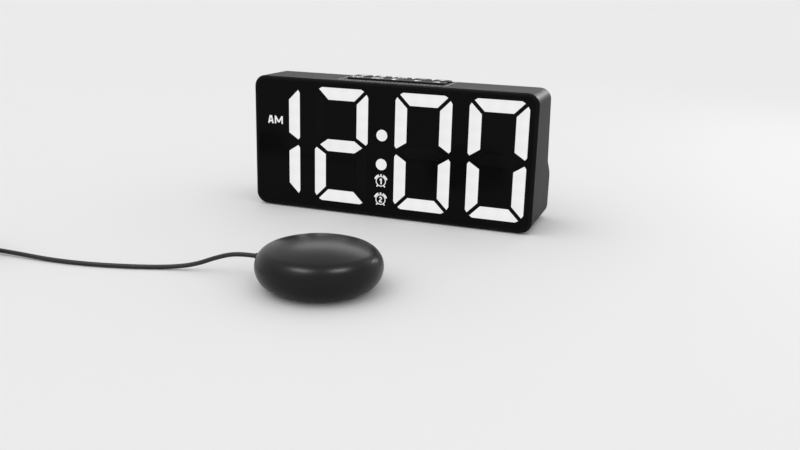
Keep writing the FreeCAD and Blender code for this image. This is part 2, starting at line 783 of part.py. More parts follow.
def foot_places():
    """(x, depth) of the four feet."""
    return [(x, d) for x in (-FOOT_X, FOOT_X) for d in (FOOT_FRONT, FOOT_BACK)]


def rubber_feet():
    """Four stuck-on rubber discs in shallow seats."""
    feet = []
    for x, d in foot_places():
        disc = rod(FOOT_R, V(x, deep(d), 0), V(x, deep(d), BASE_Z + FOOT_SUNK))
        feet.append(round_edges(disc, FOOT_PROUD / 2, lambda e: e.BoundBox.ZMax < FIT))
    return together(feet)


def case_screws():
    """Four long screws, deep in the towers, that hold the casing to the front frame."""
    screws = []
    for x, z in case_posts():
        head = V(x, deep(STACK_BACK + TOWER_END_WALL), z)
        tip = V(x, deep(STACK_BACK - SCREW_GRIP), z)
        screws.append(screw(head, tip, CASE_SCREW_R, CASE_SCREW_HEAD_R, CASE_SCREW_HEAD_T))
    return together(screws)


# Keys
def key_cap(half_w, half_d, x, d, stems):
    """A key: crowned cap through the casing, flange under it and a stem over each switch."""
    top = CLOCK_H + KEY_PROUD
    under = INNER_TOP - KEY_SEAT
    cap = flat_slab(x - half_w, x + half_w, deep(d - half_d), deep(d + half_d), KEY_R, under, top)
    cap = round_edges(cap, KEY_EDGE_R, lambda e: e.BoundBox.ZMin > top - FIT)
    wide = KEY_FLANGE + KEY_GAP
    flange = block(x - half_w - wide, x + half_w + wide, deep(d - half_d) - wide, deep(d + half_d) + wide,
                   under - KEY_FLANGE_T, under)
    stem_end = KEY_BOARD_TOP + SWITCH_T + PLUNGER_T + KEY_SEAT
    legs = [rod(STEM_R, V(s, deep(d), stem_end + KEY_TRAVEL), V(s, deep(d), under - KEY_FLANGE_T / 2))
            for s in stems]
    return fused([cap, flange] + legs)


def switch_places():
    """(x, depth) of every tact switch."""
    places = key_places()
    return places + [(KEY_ZONE_X + way * SNOOZE_STEM_X, SNOOZE_DEPTH) for way in (-1, 1)]


def key_board():
    """Board that carries the tact switches under the keys."""
    half = snooze_half() + KEY_BOARD_SIDE
    slab = block(KEY_ZONE_X - half, KEY_ZONE_X + half, deep(KEY_BOARD_FRONT), deep(KEY_BOARD_BACK),
                 KEY_BOARD_TOP - BOARD_T, KEY_BOARD_TOP)
    holes = [rod(SMALL_SCREW_R + POST_FIT, V(x, deep(d), KEY_BOARD_TOP - CUT), V(x, deep(d), KEY_BOARD_TOP))
             for x, d in pillars()]
    return slab.cut(holes)


def pillars():
    """(x, depth) of the posts that hang the key board from the casing's top."""
    half = snooze_half() + KEY_BOARD_SIDE - PILLAR_R - PILLAR_EDGE
    return [(KEY_ZONE_X - half, SNOOZE_DEPTH), (KEY_ZONE_X + half, SNOOZE_DEPTH)]


def key_switches():
    """Square tact switches with round plungers."""
    switches = []
    half = SWITCH_SIZE / 2
    for x, d in switch_places():
        body = block(x - half, x + half, deep(d) - half, deep(d) + half, KEY_BOARD_TOP,
                     KEY_BOARD_TOP + SWITCH_T)
        nub = rod(PLUNGER_R, V(x, deep(d), KEY_BOARD_TOP + SWITCH_T),
                  V(x, deep(d), KEY_BOARD_TOP + SWITCH_T + PLUNGER_T))
        switches.append(fused([body, nub]))
    return together(switches)


def make_keys():
    """The snooze bar and the row of small keys, each a node of its own."""
    stems = [KEY_ZONE_X - SNOOZE_STEM_X, KEY_ZONE_X + SNOOZE_STEM_X]
    keep("snooze_bar", key_cap(snooze_half(), SNOOZE_D / 2, KEY_ZONE_X, SNOOZE_DEPTH, stems))
    for i, (x, d) in enumerate(key_places()):
        keep("key_%d" % (i + 1), key_cap(KEY_W / 2, KEY_D / 2, x, d, [x]))


# Battery bay, drawn flat: x across, y outwards from the wall, z up
def battery_door():
    """Cover flush with the rear wall, with a thumb notch and two locating tabs."""
    half_w = DOOR_W / 2
    half_h = DOOR_H / 2
    plate = upright_slab(-half_w, half_w, -half_h, half_h, DOOR_R, -DOOR_T + FIT / 3, 0)
    thumb = rod(DOOR_NOTCH_R, V(0, -DOOR_NOTCH_T, half_h - DOOR_NOTCH_R * 1.3),
                V(0, CUT, half_h - DOOR_NOTCH_R * 1.3))
    plate = plate.cut(thumb)
    tabs = []
    reach_h = CELL_R * 2 + CELL_FIT
    for side in (-1, 1):
        x = side * DOOR_W / 4
        for way in (-1, 1):
            tabs.append(block(x - TAB_W / 2, x + TAB_W / 2, -DOOR_T - TAB_REACH, -DOOR_T + FIT,
                              min(way * reach_h, way * (reach_h - TRAY_WALL)),
                              max(way * reach_h, way * (reach_h - TRAY_WALL))))
    return to_back_wall(fused([plate] + tabs))


def cell_rows():
    """Height of each battery's axis in the bay."""
    gap = CELL_R + CELL_FIT
    return [-gap, gap]


def bay_depths():
    """Outer face, battery axis and floor of the tray, counted inwards from the wall."""
    mouth = WALL
    axis = mouth + CELL_R + CELL_FIT
    floor = axis + CELL_R + CELL_FIT
    return mouth, axis, floor


def battery_tray():
    """Moulded tray behind the opening, with a round bed for each battery."""
    mouth, axis, floor = bay_depths()
    half_w = CELL_L / 2 + CELL_NUB_L + CONTACT_T * 2 + CELL_FIT * 2
    half_h = CELL_R * 2 + CELL_FIT * 2
    outer = block(-half_w - TRAY_WALL, half_w + TRAY_WALL, -floor - TRAY_WALL, -mouth,
                  -half_h - TRAY_WALL, half_h + TRAY_WALL)
    beds = [block(-half_w, half_w, -axis, CUT, -half_h, half_h)]
    for z in cell_rows():
        beds.append(rod(CELL_R + CELL_FIT, V(-half_w, -axis, z), V(half_w, -axis, z)))
    return to_back_wall(outer.cut(beds))


def battery_contacts():
    """Sprung metal plates at both ends of the bay."""
    _, axis, floor = bay_depths()
    end = CELL_L / 2 + CELL_NUB_L + CELL_FIT
    plates = []
    for way in (-1, 1):
        for z in cell_rows():
            near = way * end
            far = way * (end + CONTACT_T)
            half = CELL_R * 0.7
            plates.append(block(min(near, far), max(near, far), -axis - half, -axis + half, z - half,
                                z + half))
    return together([to_back_wall(p) for p in plates])


def backup_batteries():
    """Two slim cells, laid head to tail."""
    _, axis, _ = bay_depths()
    cells = []
    for z, way in zip(cell_rows(), (1, -1)):
        body = rod(CELL_R, V(-CELL_L / 2 * way, -axis, z), V(CELL_L / 2 * way, -axis, z))
        nub = rod(CELL_NUB_R, V(CELL_L / 2 * way, -axis, z), V((CELL_L / 2 + CELL_NUB_L) * way, -axis, z))
        cells.append(to_back_wall(fused([body, nub])))
    return together(cells)


# Main board and what stands on it
def standoffs():
    """(x, depth) of the posts under the main board."""
    inset = STANDOFF_R + POST_FIT
    return [(x, d) for x in (MAIN_X0 + inset, MAIN_X1 - inset)
            for d in (MAIN_FRONT + inset, MAIN_BACK - inset)]


def main_board():
    """Circuit board that lies across the foot of the casing."""
    slab = block(MAIN_X0, MAIN_X1, deep(MAIN_FRONT), deep(MAIN_BACK), MAIN_Z, MAIN_Z + BOARD_T)
    holes = [rod(SMALL_SCREW_R + POST_FIT, V(x, deep(d), MAIN_Z - CUT), V(x, deep(d), MAIN_Z + CUT))
             for x, d in standoffs()]
    return slab.cut(holes)


def board_screws():
    """Screws that hold the main board to its posts and the key board to its pillars."""
    top = MAIN_Z + BOARD_T
    under = KEY_BOARD_TOP - BOARD_T
    ends = []
    for x, d in standoffs():
        ends.append((V(x, deep(d), top), V(x, deep(d), top - SCREW_GRIP)))
    for x, d in pillars():
        ends.append((V(x, deep(d), under), V(x, deep(d), under + SCREW_GRIP)))
    return together([screw(head, tip, SMALL_SCREW_R, SMALL_HEAD_R, SMALL_HEAD_T) for head, tip in ends])


def board_components():
    """Processor, amplifier, two capacitors and the cable connector."""
    top = MAIN_Z + BOARD_T
    front = deep(MAIN_FRONT)
    chip = block(DC_X - USB_W, DC_X, front + CAP_R, front + CAP_R + DC_BODY_W, top, top + CHIP_T)
    amp = block(SHAKER_X - DC_BODY_W, SHAKER_X, front + CAP_R, front + CAP_R + DC_BODY_W, top, top + CHIP_T)
    caps = [rod(CAP_R, V(x, front + CAP_R * 2, top), V(x, front + CAP_R * 2, top + CAP_H))
            for x in (MODE_X, MODE_X - CAP_R * 3)]
    plug = block(WHEEL_X - USB_W, WHEEL_X, front + CAP_R, front + CAP_R + USB_H, top, top + USB_H)
    return together([chip, amp, plug] + caps)


def dc_socket():
    """Round power inlet with its centre pin."""
    wall_in = BULGE_DEPTH - WALL - SOCKET_GAP
    half = DC_BODY_W / 2
    body = block(DC_X - half, DC_X + half, deep(wall_in - DC_BODY_D), deep(wall_in),
                 MAIN_Z + BOARD_T, MAIN_Z + BOARD_T + DC_BODY_H)
    collar = rod(DC_COLLAR_R, V(DC_X, deep(wall_in), SOCKET_Z), V(DC_X, deep(BULGE_DEPTH), SOCKET_Z))
    mouth = BULGE_DEPTH - DC_BORE_L
    bore = rod(DC_BORE_R, V(DC_X, deep(mouth), SOCKET_Z), V(DC_X, deep(BULGE_DEPTH + CUT), SOCKET_Z))
    pin = rod(DC_PIN_R, V(DC_X, deep(mouth), SOCKET_Z), V(DC_X, deep(BULGE_DEPTH - DC_PIN_BACK), SOCKET_Z))
    return fused([fused([body, collar]).cut(bore), pin])


def usb_shell():
    """Folded sheet shell of the charging port."""
    half_w = USB_W / 2
    half_h = USB_H / 2
    front = deep(BULGE_DEPTH - USB_D)
    outer = block(USB_X - half_w, USB_X + half_w, front, deep(BULGE_DEPTH), SOCKET_Z - half_h,
                  SOCKET_Z + half_h)
    inner = block(USB_X - half_w + USB_SHEET, USB_X + half_w - USB_SHEET, front + USB_SHEET,
                  deep(BULGE_DEPTH + CUT), SOCKET_Z - half_h + USB_SHEET, SOCKET_Z + half_h - USB_SHEET)
    stand = block(USB_X - half_w, USB_X + half_w, front, front + USB_D / 2, MAIN_Z + BOARD_T,
                  SOCKET_Z - half_h)
    return fused([outer.cut(inner), stand])


def usb_tongue():
    """The port's plastic tongue, held in the back of the shell."""
    half_w = USB_TONGUE_W / 2
    back = deep(BULGE_DEPTH - USB_D) + USB_SHEET
    z1 = SOCKET_Z + USB_H / 2 - USB_SHEET
    root = block(USB_X - half_w, USB_X + half_w, back, back + USB_SHEET * 3, SOCKET_Z - half_w / 3, z1)
    tongue = block(USB_X - half_w, USB_X + half_w, back, deep(BULGE_DEPTH - USB_TONGUE_BACK),
                   z1 - USB_SHEET * 2 - USB_TONGUE_H, z1 - USB_SHEET * 2)
    return fused([root, tongue])


def shaker_socket():
    """The round socket that the shaker's plug goes into."""
    wall_in = BULGE_DEPTH - WALL - SOCKET_GAP
    half = JACK_BODY_W / 2
    half_h = JACK_BODY_H / 2
    body = block(SHAKER_X - half, SHAKER_X + half, deep(wall_in - JACK_BODY_D), deep(wall_in),
                 MAIN_Z + BOARD_T, SOCKET_Z + half_h)
    collar = rod(JACK_COLLAR_R, V(SHAKER_X, deep(wall_in), SOCKET_Z),
                 V(SHAKER_X, deep(BULGE_DEPTH), SOCKET_Z))
    bore = rod(JACK_BORE_R, V(SHAKER_X, deep(BULGE_DEPTH - JACK_BORE_L), SOCKET_Z),
               V(SHAKER_X, deep(BULGE_DEPTH + CUT), SOCKET_Z))
    return fused([body, collar]).cut(bore)


def mode_switch():
    """Body of the three-place slide switch behind the wall."""
    wall_in = BULGE_DEPTH - WALL - SOCKET_GAP
    half = MODE_BODY_W / 2
    half_h = MODE_BODY_H / 2
    foot_top = SOCKET_Z - half_h
    body = block(MODE_X - half, MODE_X + half, deep(wall_in - MODE_BODY_D), deep(wall_in),
                 foot_top, SOCKET_Z + half_h)
    foot = block(MODE_X - half, MODE_X + half, deep(wall_in - MODE_BODY_D), deep(wall_in),
                 MAIN_Z + BOARD_T, foot_top)
    return fused([body, foot])


def mode_knob():
    """The switch's ribbed finger piece, in its middle place."""
    wall_in = BULGE_DEPTH - WALL - SOCKET_GAP
    half = MODE_KNOB_W / 2
    half_h = MODE_KNOB_H / 2
    out = BULGE_DEPTH + MODE_KNOB_PROUD
    knob = block(MODE_X - half, MODE_X + half, deep(wall_in), deep(out), SOCKET_Z - half_h,
                 SOCKET_Z + half_h)
    groove = MODE_KNOB_W / 7
    cuts = []
    for k in (-1, 0, 1):
        x = MODE_X + k * groove * 2
        cuts.append(block(x - groove / 2, x + groove / 2, deep(out - groove), deep(out + CUT),
                          SOCKET_Z - half_h - CUT, SOCKET_Z + half_h + CUT))
    return knob.cut(cuts)


def wheel_depth():
    """Depth of the dimmer wheel's axle."""
    return BULGE_DEPTH + WHEEL_PROUD - WHEEL_R


def dimmer_wheel():
    """Toothed thumb wheel that stands a little out of its slot."""
    z0 = SOCKET_Z - WHEEL_T / 2
    centre = V(WHEEL_X, deep(wheel_depth()), z0)
    points = []
    for k in range(WHEEL_TEETH * 4):
        turn = 2 * math.pi * k / (WHEEL_TEETH * 4)
        low = k % 4 >= 2
        r = WHEEL_R - WHEEL_TOOTH * low
        points.append(centre + V(r * math.cos(turn), r * math.sin(turn), 0))
    disc = solid_of(Part.makePolygon(points + [points[0]]), V(0, 0, WHEEL_T))
    bore = rod(WHEEL_AXLE_R + RUNNING, centre, centre + V(0, 0, WHEEL_T))
    return disc.cut(bore)


def dimmer_pot():
    """The turning resistor under the wheel, with the axle that carries it."""
    centre = V(WHEEL_X, deep(wheel_depth()), MAIN_Z + BOARD_T)
    half = POT_W / 2
    body = block(WHEEL_X - half, WHEEL_X + half, centre.y - half, centre.y + half - WHEEL_PROUD - WALL,
                 centre.z, SOCKET_Z - WHEEL_T / 2 - FIT)
    axle = rod(WHEEL_AXLE_R, centre, V(centre.x, centre.y, SOCKET_Z + WHEEL_T / 2 + FIT))
    cap = rod(WHEEL_AXLE_R * 1.5, V(centre.x, centre.y, SOCKET_Z + WHEEL_T / 2 + FIT),
              V(centre.x, centre.y, SOCKET_Z + WHEEL_T / 2 + FIT * 5))
    return fused([body, axle, cap])


# Speaker
def speaker_grille():
    """Separate grille pressed into the bulge, with upright slots."""
    lip = racetrack(GRILLE_LIP - INLAY_GAP, deep(BULGE_DEPTH - GRILLE_LIP_T), deep(BULGE_DEPTH))
    plug = racetrack(-INLAY_GAP, deep(BULGE_DEPTH - GRILLE_T), deep(BULGE_DEPTH))
    slots = []
    for k in range(GRILLE_SLOTS):
        x = SPEAKER_X + (k - (GRILLE_SLOTS - 1) / 2) * GRILLE_SLOT_PITCH
        reach = SPEAKER_H / 2 - GRILLE_LIP * 1.5
        half = GRILLE_SLOT_W / 2
        slots.append(upright_slab(x - half, x + half, SPEAKER_Z - reach, SPEAKER_Z + reach, half * 0.9,
                                  deep(BULGE_DEPTH - GRILLE_T - CUT), deep(BULGE_DEPTH + CUT)))
    return fused([lip, plug]).cut(slots)


def speaker():
    """Metal basket and magnet of the oval speaker, seated on the wall behind the grille."""
    seat = BULGE_DEPTH - WALL
    rim = racetrack(SPEAKER_RIM, deep(seat - SPEAKER_RIM_T), deep(seat))
    basket = racetrack(0, deep(seat - SPEAKER_BASKET_D), deep(seat - SPEAKER_RIM_T))
    bowl = racetrack(-SPEAKER_RIM, deep(seat - SPEAKER_BASKET_D + SPEAKER_RIM_T), deep(seat + CUT))
    magnet = rod(MAGNET_R, V(SPEAKER_X, deep(seat - SPEAKER_BASKET_D - MAGNET_D), SPEAKER_Z),
                 V(SPEAKER_X, deep(seat - SPEAKER_BASKET_D), SPEAKER_Z))
    return fused([rim, basket, magnet]).cut(bowl)


def speaker_cone():
    """Paper cone with its dust cap, glued inside the basket."""
    seat = BULGE_DEPTH - WALL
    sheet = racetrack(-SPEAKER_RIM - INLAY_GAP, deep(seat - SPEAKER_RIM_T), deep(seat - SPEAKER_RIM_T / 2))
    coil = rod(MAGNET_R / 2, V(SPEAKER_X, deep(seat - SPEAKER_BASKET_D + SPEAKER_RIM_T), SPEAKER_Z),
               V(SPEAKER_X, deep(seat - SPEAKER_RIM_T), SPEAKER_Z))
    return fused([sheet, coil])


# The puck
def crown_radius():
    """Radius of the puck's top that meets the rounded shoulder smoothly."""
    reach = PUCK_R - SHOULDER_ROLL_R
    drop = PUCK_H - PUCK_WAIST_Z
    return (reach ** 2 + drop ** 2 - SHOULDER_ROLL_R ** 2) / (2 * (drop - SHOULDER_ROLL_R))


def puck_form(inset):
    """The pebble, or its hollow: crown, shoulder and rolled base turned about the upright axis."""
    full_crown = crown_radius()
    centre_r = PUCK_R - SHOULDER_ROLL_R
    crown_z = PUCK_H - full_crown
    lean = math.atan2(centre_r, PUCK_WAIST_Z - crown_z)
    crown = full_crown - inset
    roll = SHOULDER_ROLL_R - inset
    side = math.pi / 2 - lean
    peak = V(0, 0, crown_z + crown)
    high = V(crown * math.sin(lean / 2), 0, crown_z + crown * math.cos(lean / 2))
    meet = V(crown * math.sin(lean), 0, crown_z + crown * math.cos(lean))
    shoulder = V(centre_r + roll * math.cos(side / 2), 0, PUCK_WAIST_Z + roll * math.sin(side / 2))
    waist = V(PUCK_R - inset, 0, PUCK_WAIST_Z)
    foot_z = PAD_T - PAD_SUNK
    run = PUCK_R - PUCK_BASE_R
    rise = PUCK_WAIST_Z - foot_z
    full_low = (run ** 2 + rise ** 2) / (2 * run)
    low = full_low - inset
    low_x = PUCK_R - full_low
    sweep = math.asin((rise - inset) / low)
    flank = V(low_x + low * math.cos(sweep / 2), 0, PUCK_WAIST_Z - low * math.sin(sweep / 2))
    foot = V(low_x + low * math.cos(sweep), 0, foot_z + inset)
    base = V(0, 0, foot_z + inset)
    edges = [Part.Arc(peak, high, meet).toShape(), Part.Arc(meet, shoulder, waist).toShape(),
             Part.Arc(waist, flank, foot).toShape(), Part.makeLine(foot, base), Part.makeLine(base, peak)]
    solid = Part.Face(Part.Wire(edges)).revolve(V(0, 0, 0), V(0, 0, 1), 360)
    solid.translate(V(PUCK_X, PUCK_Y, 0))
    return solid


def puck_slice(solid, z0, z1):
    """The part of a puck solid between two heights."""
    reach = PUCK_R + CUT
    return solid.common(block(PUCK_X - reach, PUCK_X + reach, PUCK_Y - reach, PUCK_Y + reach, z0, z1))


def boss_places():
    """Centre of each screw boss in the puck."""
    places = []
    for k in range(BOSS_COUNT):
        turn = math.radians(270 + 360 * k / BOSS_COUNT)
        places.append(V(PUCK_X + BOSS_RING_R * math.cos(turn), PUCK_Y + BOSS_RING_R * math.sin(turn), 0))
    return places


def at_height(place, z):
    """The same place at another height."""
    return V(place.x, place.y, z)


def relief_hole():
    """Opening in both shells where the lead's strain relief is gripped."""
    start = V(PUCK_X - PUCK_R - CUT, PUCK_Y, PUCK_WAIST_Z)
    return rod(RELIEF_R, start, V(PUCK_X - PUCK_R / 2, PUCK_Y, PUCK_WAIST_Z))


def shaker_top_shell():
    """Domed upper half, with blind bosses for the three screws."""
    outer = puck_form(0)
    inner = puck_form(PUCK_WALL)
    upper = puck_slice(outer.cut(inner), PUCK_WAIST_Z, PUCK_H + CUT)
    bosses = [rod(BOSS_R, at_height(p, PUCK_WAIST_Z), at_height(p, PUCK_H)).common(outer)
              for p in boss_places()]
    lip_room = puck_form(PUCK_WALL - LIP_T - LIP_GAP)
    groove = puck_slice(lip_room.cut(inner), PUCK_WAIST_Z - CUT, PUCK_WAIST_Z + LIP_H + LIP_GAP)
    body = fused([upper.cut(groove)] + bosses)
    bore_top = PUCK_WAIST_Z + SCREW_GRIP + LIP_H
    bores = [rod(PUCK_SCREW_R + THREAD_GAP, at_height(p, 0), at_height(p, bore_top)) for p in boss_places()]
    return body.cut(bores + [relief_hole()])


def shaker_bottom_shell():
    """Lower half: floor, motor saddles, screw pillars and the lip that locates the top."""
    outer = puck_form(0)
    inner = puck_form(PUCK_WALL)
    lower = puck_slice(outer.cut(inner), 0, PUCK_WAIST_Z)
    lip_outer = puck_form(PUCK_WALL - LIP_T)
    lip = puck_slice(lip_outer.cut(inner), PUCK_WAIST_Z - LIP_T, PUCK_WAIST_Z + LIP_H)
    floor = PAD_T
    columns = [rod(BOSS_R, at_height(p, floor), at_height(p, PUCK_WAIST_Z)).common(outer)
               for p in boss_places()]
    narrow = MOTOR_R + SADDLE_T
    saddles = []
    for y, half in zip(saddle_places(), (narrow + STRAP_EAR, narrow)):
        saddles.append(block(PUCK_X - half, PUCK_X + half, y - STRAP_W / 2, y + STRAP_W / 2, floor,
                             MOTOR_Z))
    ears = strap_ears()
    rear, front = motor_ends()
    bed = rod(MOTOR_R + RUNNING, V(PUCK_X, rear, MOTOR_Z), V(PUCK_X, front, MOTOR_Z))
    body = fused([lower, lip] + columns + saddles)
    cuts = [bed, relief_hole()]
    for p in boss_places():
        cuts.append(rod(LIP_T * 2 + BOSS_R, at_height(p, PUCK_WAIST_Z), at_height(p, PUCK_WAIST_Z + LIP_H)))
        cuts.append(rod(PUCK_SCREW_R + POST_FIT, at_height(p, 0), at_height(p, PUCK_WAIST_Z + CUT)))
        cuts.append(rod(PUCK_HEAD_R + POST_FIT, at_height(p, 0), at_height(p, screw_seat())))
    for p in ears:
        cuts.append(rod(STRAP_SCREW_R + THREAD_GAP, at_height(p, floor + PUCK_WALL), at_height(p, MOTOR_Z)))
    pad = rod(PAD_R + INLAY_GAP, V(PUCK_X, PUCK_Y, 0), V(PUCK_X, PUCK_Y, PAD_T))
    return body.cut(cuts + [pad])


def screw_seat():
    """Height of the puck screws' seats, above the pad."""
    return PAD_T + PUCK_HEAD_T + PUCK_WALL / 2


def saddle_places():
    """Y of the two saddles that cradle the motor."""
    near = PUCK_Y - MOTOR_BACK + SADDLE_INSET
    return [near, near + MOTOR_L - SADDLE_INSET * 2]


def strap_ears():
    """Where the strap's two screws go, beside the rear saddle."""
    y = saddle_places()[0]
    reach = MOTOR_R + SADDLE_T + STRAP_EAR / 2
    return [V(PUCK_X - reach, y, 0), V(PUCK_X + reach, y, 0)]


def shaker_foot_pad():
    """Soft ring under the puck, let into the bottom shell."""
    base = V(PUCK_X, PUCK_Y, 0)
    disc = rod(PAD_R, base, V(PUCK_X, PUCK_Y, PAD_T))
    disc = round_edges(disc, PAD_SUNK / 2, lambda e: e.BoundBox.ZMax < FIT)
    return disc.cut(rod(PAD_HOLE_R, base, V(PUCK_X, PUCK_Y, PAD_T)))


def shaker_screws():
    """Three screws from below, hidden by the pad."""
    screws = []
    for p in boss_places():
        seat = at_height(p, screw_seat())
        tip = at_height(p, PUCK_WAIST_Z + SCREW_GRIP)
        screws.append(screw(seat, tip, PUCK_SCREW_R, PUCK_HEAD_R, PUCK_HEAD_T))
    return together(screws)


def motor_ends():
    """Y of the motor's rear and front faces."""
    return PUCK_Y - MOTOR_BACK, PUCK_Y - MOTOR_BACK + MOTOR_L


def motor_case():
    """Motor can with its nose bearing and terminals."""
    rear, front = motor_ends()
    can = rod(MOTOR_R, V(PUCK_X, rear, MOTOR_Z), V(PUCK_X, front, MOTOR_Z))
    can = round_edges(can, PUCK_WALL / 4, lambda e: e.BoundBox.YMax - e.BoundBox.YMin < FIT)
    nose = rod(MOTOR_NOSE_R, V(PUCK_X, front - MOTOR_NOSE_L, MOTOR_Z),
               V(PUCK_X, front + MOTOR_NOSE_L, MOTOR_Z))
    tags = [block(PUCK_X + way * MOTOR_NOSE_R - SHAFT_R / 2, PUCK_X + way * MOTOR_NOSE_R + SHAFT_R / 2,
                  rear - SHAFT_R * 2, rear, MOTOR_Z - SHAFT_R, MOTOR_Z + SHAFT_R) for way in (-1, 1)]
    bore = rod(SHAFT_R + RUNNING, V(PUCK_X, front - SHAFT_IN, MOTOR_Z), V(PUCK_X, front + CUT, MOTOR_Z))
    return fused([can, nose] + tags).cut(bore)


def motor_shaft():
    """The motor's shaft, which carries the weight."""
    _, front = motor_ends()
    return rod(SHAFT_R, V(PUCK_X, front - SHAFT_IN + RUNNING, MOTOR_Z),
               V(PUCK_X, front + SHAFT_OUT, MOTOR_Z))


def eccentric_weight():
    """Half-round weight hanging from the shaft: it makes the puck shake."""
    _, front = motor_ends()
    y0 = front + MOTOR_NOSE_L + WEIGHT_GAP
    y1 = y0 + WEIGHT_T
    sector = rod(WEIGHT_R, V(PUCK_X, y0, MOTOR_Z), V(PUCK_X, y1, MOTOR_Z))
    reach = WEIGHT_R + CUT
    lower = block(PUCK_X - reach, PUCK_X + reach, y0 - CUT, y1 + CUT, MOTOR_Z - reach, MOTOR_Z)
    hub = rod(WEIGHT_HUB_R, V(PUCK_X, y0, MOTOR_Z), V(PUCK_X, y1, MOTOR_Z))
    body = fused([sector.common(lower), hub])
    return body.cut(rod(SHAFT_R, V(PUCK_X, y0 - CUT, MOTOR_Z), V(PUCK_X, y1 + CUT, MOTOR_Z)))


def motor_strap():
    """Bent metal strap over the motor, with an ear at each side."""
    y = saddle_places()[0]
    y0 = y - STRAP_W / 2
    y1 = y + STRAP_W / 2
    arch = ring_bar(MOTOR_R + STRAP_T + RUNNING, MOTOR_R + RUNNING, V(PUCK_X, y0, MOTOR_Z),
                    V(PUCK_X, y1, MOTOR_Z))
    reach = MOTOR_R + SADDLE_T + STRAP_EAR
    upper = block(PUCK_X - reach, PUCK_X + reach, y0, y1, MOTOR_Z, MOTOR_Z + PUCK_R)
    ear_bar = block(PUCK_X - reach, PUCK_X + reach, y0, y1, MOTOR_Z, MOTOR_Z + STRAP_T)
    can = rod(MOTOR_R + RUNNING, V(PUCK_X, y0, MOTOR_Z), V(PUCK_X, y1, MOTOR_Z))
    body = fused([arch.common(upper), ear_bar]).cut(can)
    holes = [rod(STRAP_SCREW_R + POST_FIT, at_height(p, MOTOR_Z - CUT), at_height(p, MOTOR_Z + CUT))
             for p in strap_ears()]
    return body.cut(holes)


def strap_screws():
    """Two screws that pull the strap down."""
    screws = []
    for p in strap_ears():
        seat = at_height(p, MOTOR_Z + STRAP_T)
        tip = at_height(p, MOTOR_Z - SCREW_GRIP)
        screws.append(screw(seat, tip, STRAP_SCREW_R, STRAP_HEAD_R, STRAP_HEAD_T))
    return together(screws)


def relief_end():
    """Where the lead leaves its strain relief."""
    return V(PUCK_X - PUCK_R - RELIEF_OUT, PUCK_Y, PUCK_WAIST_Z)


def lead_relief():
    """Tapered rubber sleeve on the lead, gripped between the two shells."""
    inside = PUCK_R - PUCK_WALL - RELIEF_FLANGE_T - RELIEF_SEAT
    x0 = PUCK_X - inside
    sleeve = rod(RELIEF_R - LIP_GAP, V(x0, PUCK_Y, PUCK_WAIST_Z), V(PUCK_X - PUCK_R, PUCK_Y, PUCK_WAIST_Z))
    flange = rod(RELIEF_FLANGE_R, V(x0, PUCK_Y, PUCK_WAIST_Z),
                 V(x0 - RELIEF_FLANGE_T, PUCK_Y, PUCK_WAIST_Z))
    taper = Part.makeCone(RELIEF_R - LIP_GAP, RELIEF_TIP_R, RELIEF_OUT,
                          V(PUCK_X - PUCK_R, PUCK_Y, PUCK_WAIST_Z),
                          V(-1, 0, 0))
    return fused([sleeve, flange, taper])


# The lead. Its points are chosen by hand; the coil is worked out
def coil_layer_shift():
    """Radius lost or gained over one layer."""
    return COIL_PITCH * COIL_LAYER_TURNS


def coil_point(turns):
    """A place on the coil's centre line, turns after its start, and the way it runs there."""
    layer = int(turns // COIL_LAYER_TURNS)
    into = turns - layer * COIL_LAYER_TURNS
    inwards = layer % 2 == 0
    outer = COIL_INNER_R + coil_layer_shift()
    radius = outer - COIL_PITCH * into if inwards else COIL_INNER_R + COIL_PITCH * into
    slope = -COIL_PITCH if inwards else COIL_PITCH
    height = 0.0
    steep = 0.0
    for k in range(1, COIL_LAYERS):
        share = (turns - k * COIL_LAYER_TURNS) * 2 + 0.5
        share = min(max(share, 0.0), 1.0)
        height += COIL_PITCH * share * share * (3 - 2 * share)
        steep += COIL_PITCH * 6 * share * (1 - share) * 2
    angle = math.radians(90) + 2 * math.pi * turns
    place = V(COIL_X + radius * math.cos(angle), COIL_Y + radius * math.sin(angle),
              COIL_BASE + LEAD_R + height)
    run = 2 * math.pi * radius
    way = V(slope * math.cos(angle) - run * math.sin(angle),
            slope * math.sin(angle) + run * math.cos(angle), steep)
    return place, way.normalize()


def tangent_arc(start, way, end):
    """The arc that leaves start along way and passes through end."""
    chord = end - start
    along = chord.normalize() if chord.Length else chord
    chord = end - start
    cosine = min(1.0, way.dot(along))
    half = math.acos(cosine)
    if half < 1e-6:
        return Part.makeLine(start, end)
    rise = (way - along * cosine).normalize()
    middle = start + chord * 0.5 + rise * (chord.Length / 2 * math.tan(half / 2))
    return Part.Arc(start, middle, end).toShape()


def biarc(start, way_in, end, way_out):
    """Two arcs that join two places and their directions smoothly."""
    span = end - start
    ways = way_in + way_out
    a = 2 * (1 - way_in.dot(way_out))
    b = 2 * span.dot(ways)
    c = -span.dot(span)
    reach = (-b + math.sqrt(b * b - 4 * a * c)) / (2 * a) if a > 1e-9 else -c / b
    joint = (start + way_in * reach + end - way_out * reach) * 0.5
    knee = start + way_in * reach
    way = (joint - knee).normalize()
    return [tangent_arc(start, way_in, joint), tangent_arc(joint, way, end)]


def coil_stops():
    """Turns at which one biarc hands over to the next."""
    total = COIL_LAYERS * COIL_LAYER_TURNS
    stops = [0.0]
    turn = 0.25
    while turn < total - 1e-6:
        stops.append(turn)
        turn += 0.5
    return stops + [total]


def coil_edges():
    """The coil's centre line, with a straight start and end."""
    stops = coil_stops()
    first, way = coil_point(stops[0])
    edges = [Part.makeLine(first - way * LEAD_D, first)]
    for a, b in zip(stops[:-1], stops[1:]):
        pa, wa = coil_point(a)
        pb, wb = coil_point(b)
        edges += biarc(pa, wa, pb, wb)
    last, way = coil_point(stops[-1])
    edges.append(Part.makeLine(last, last + way * LEAD_D))
    return edges


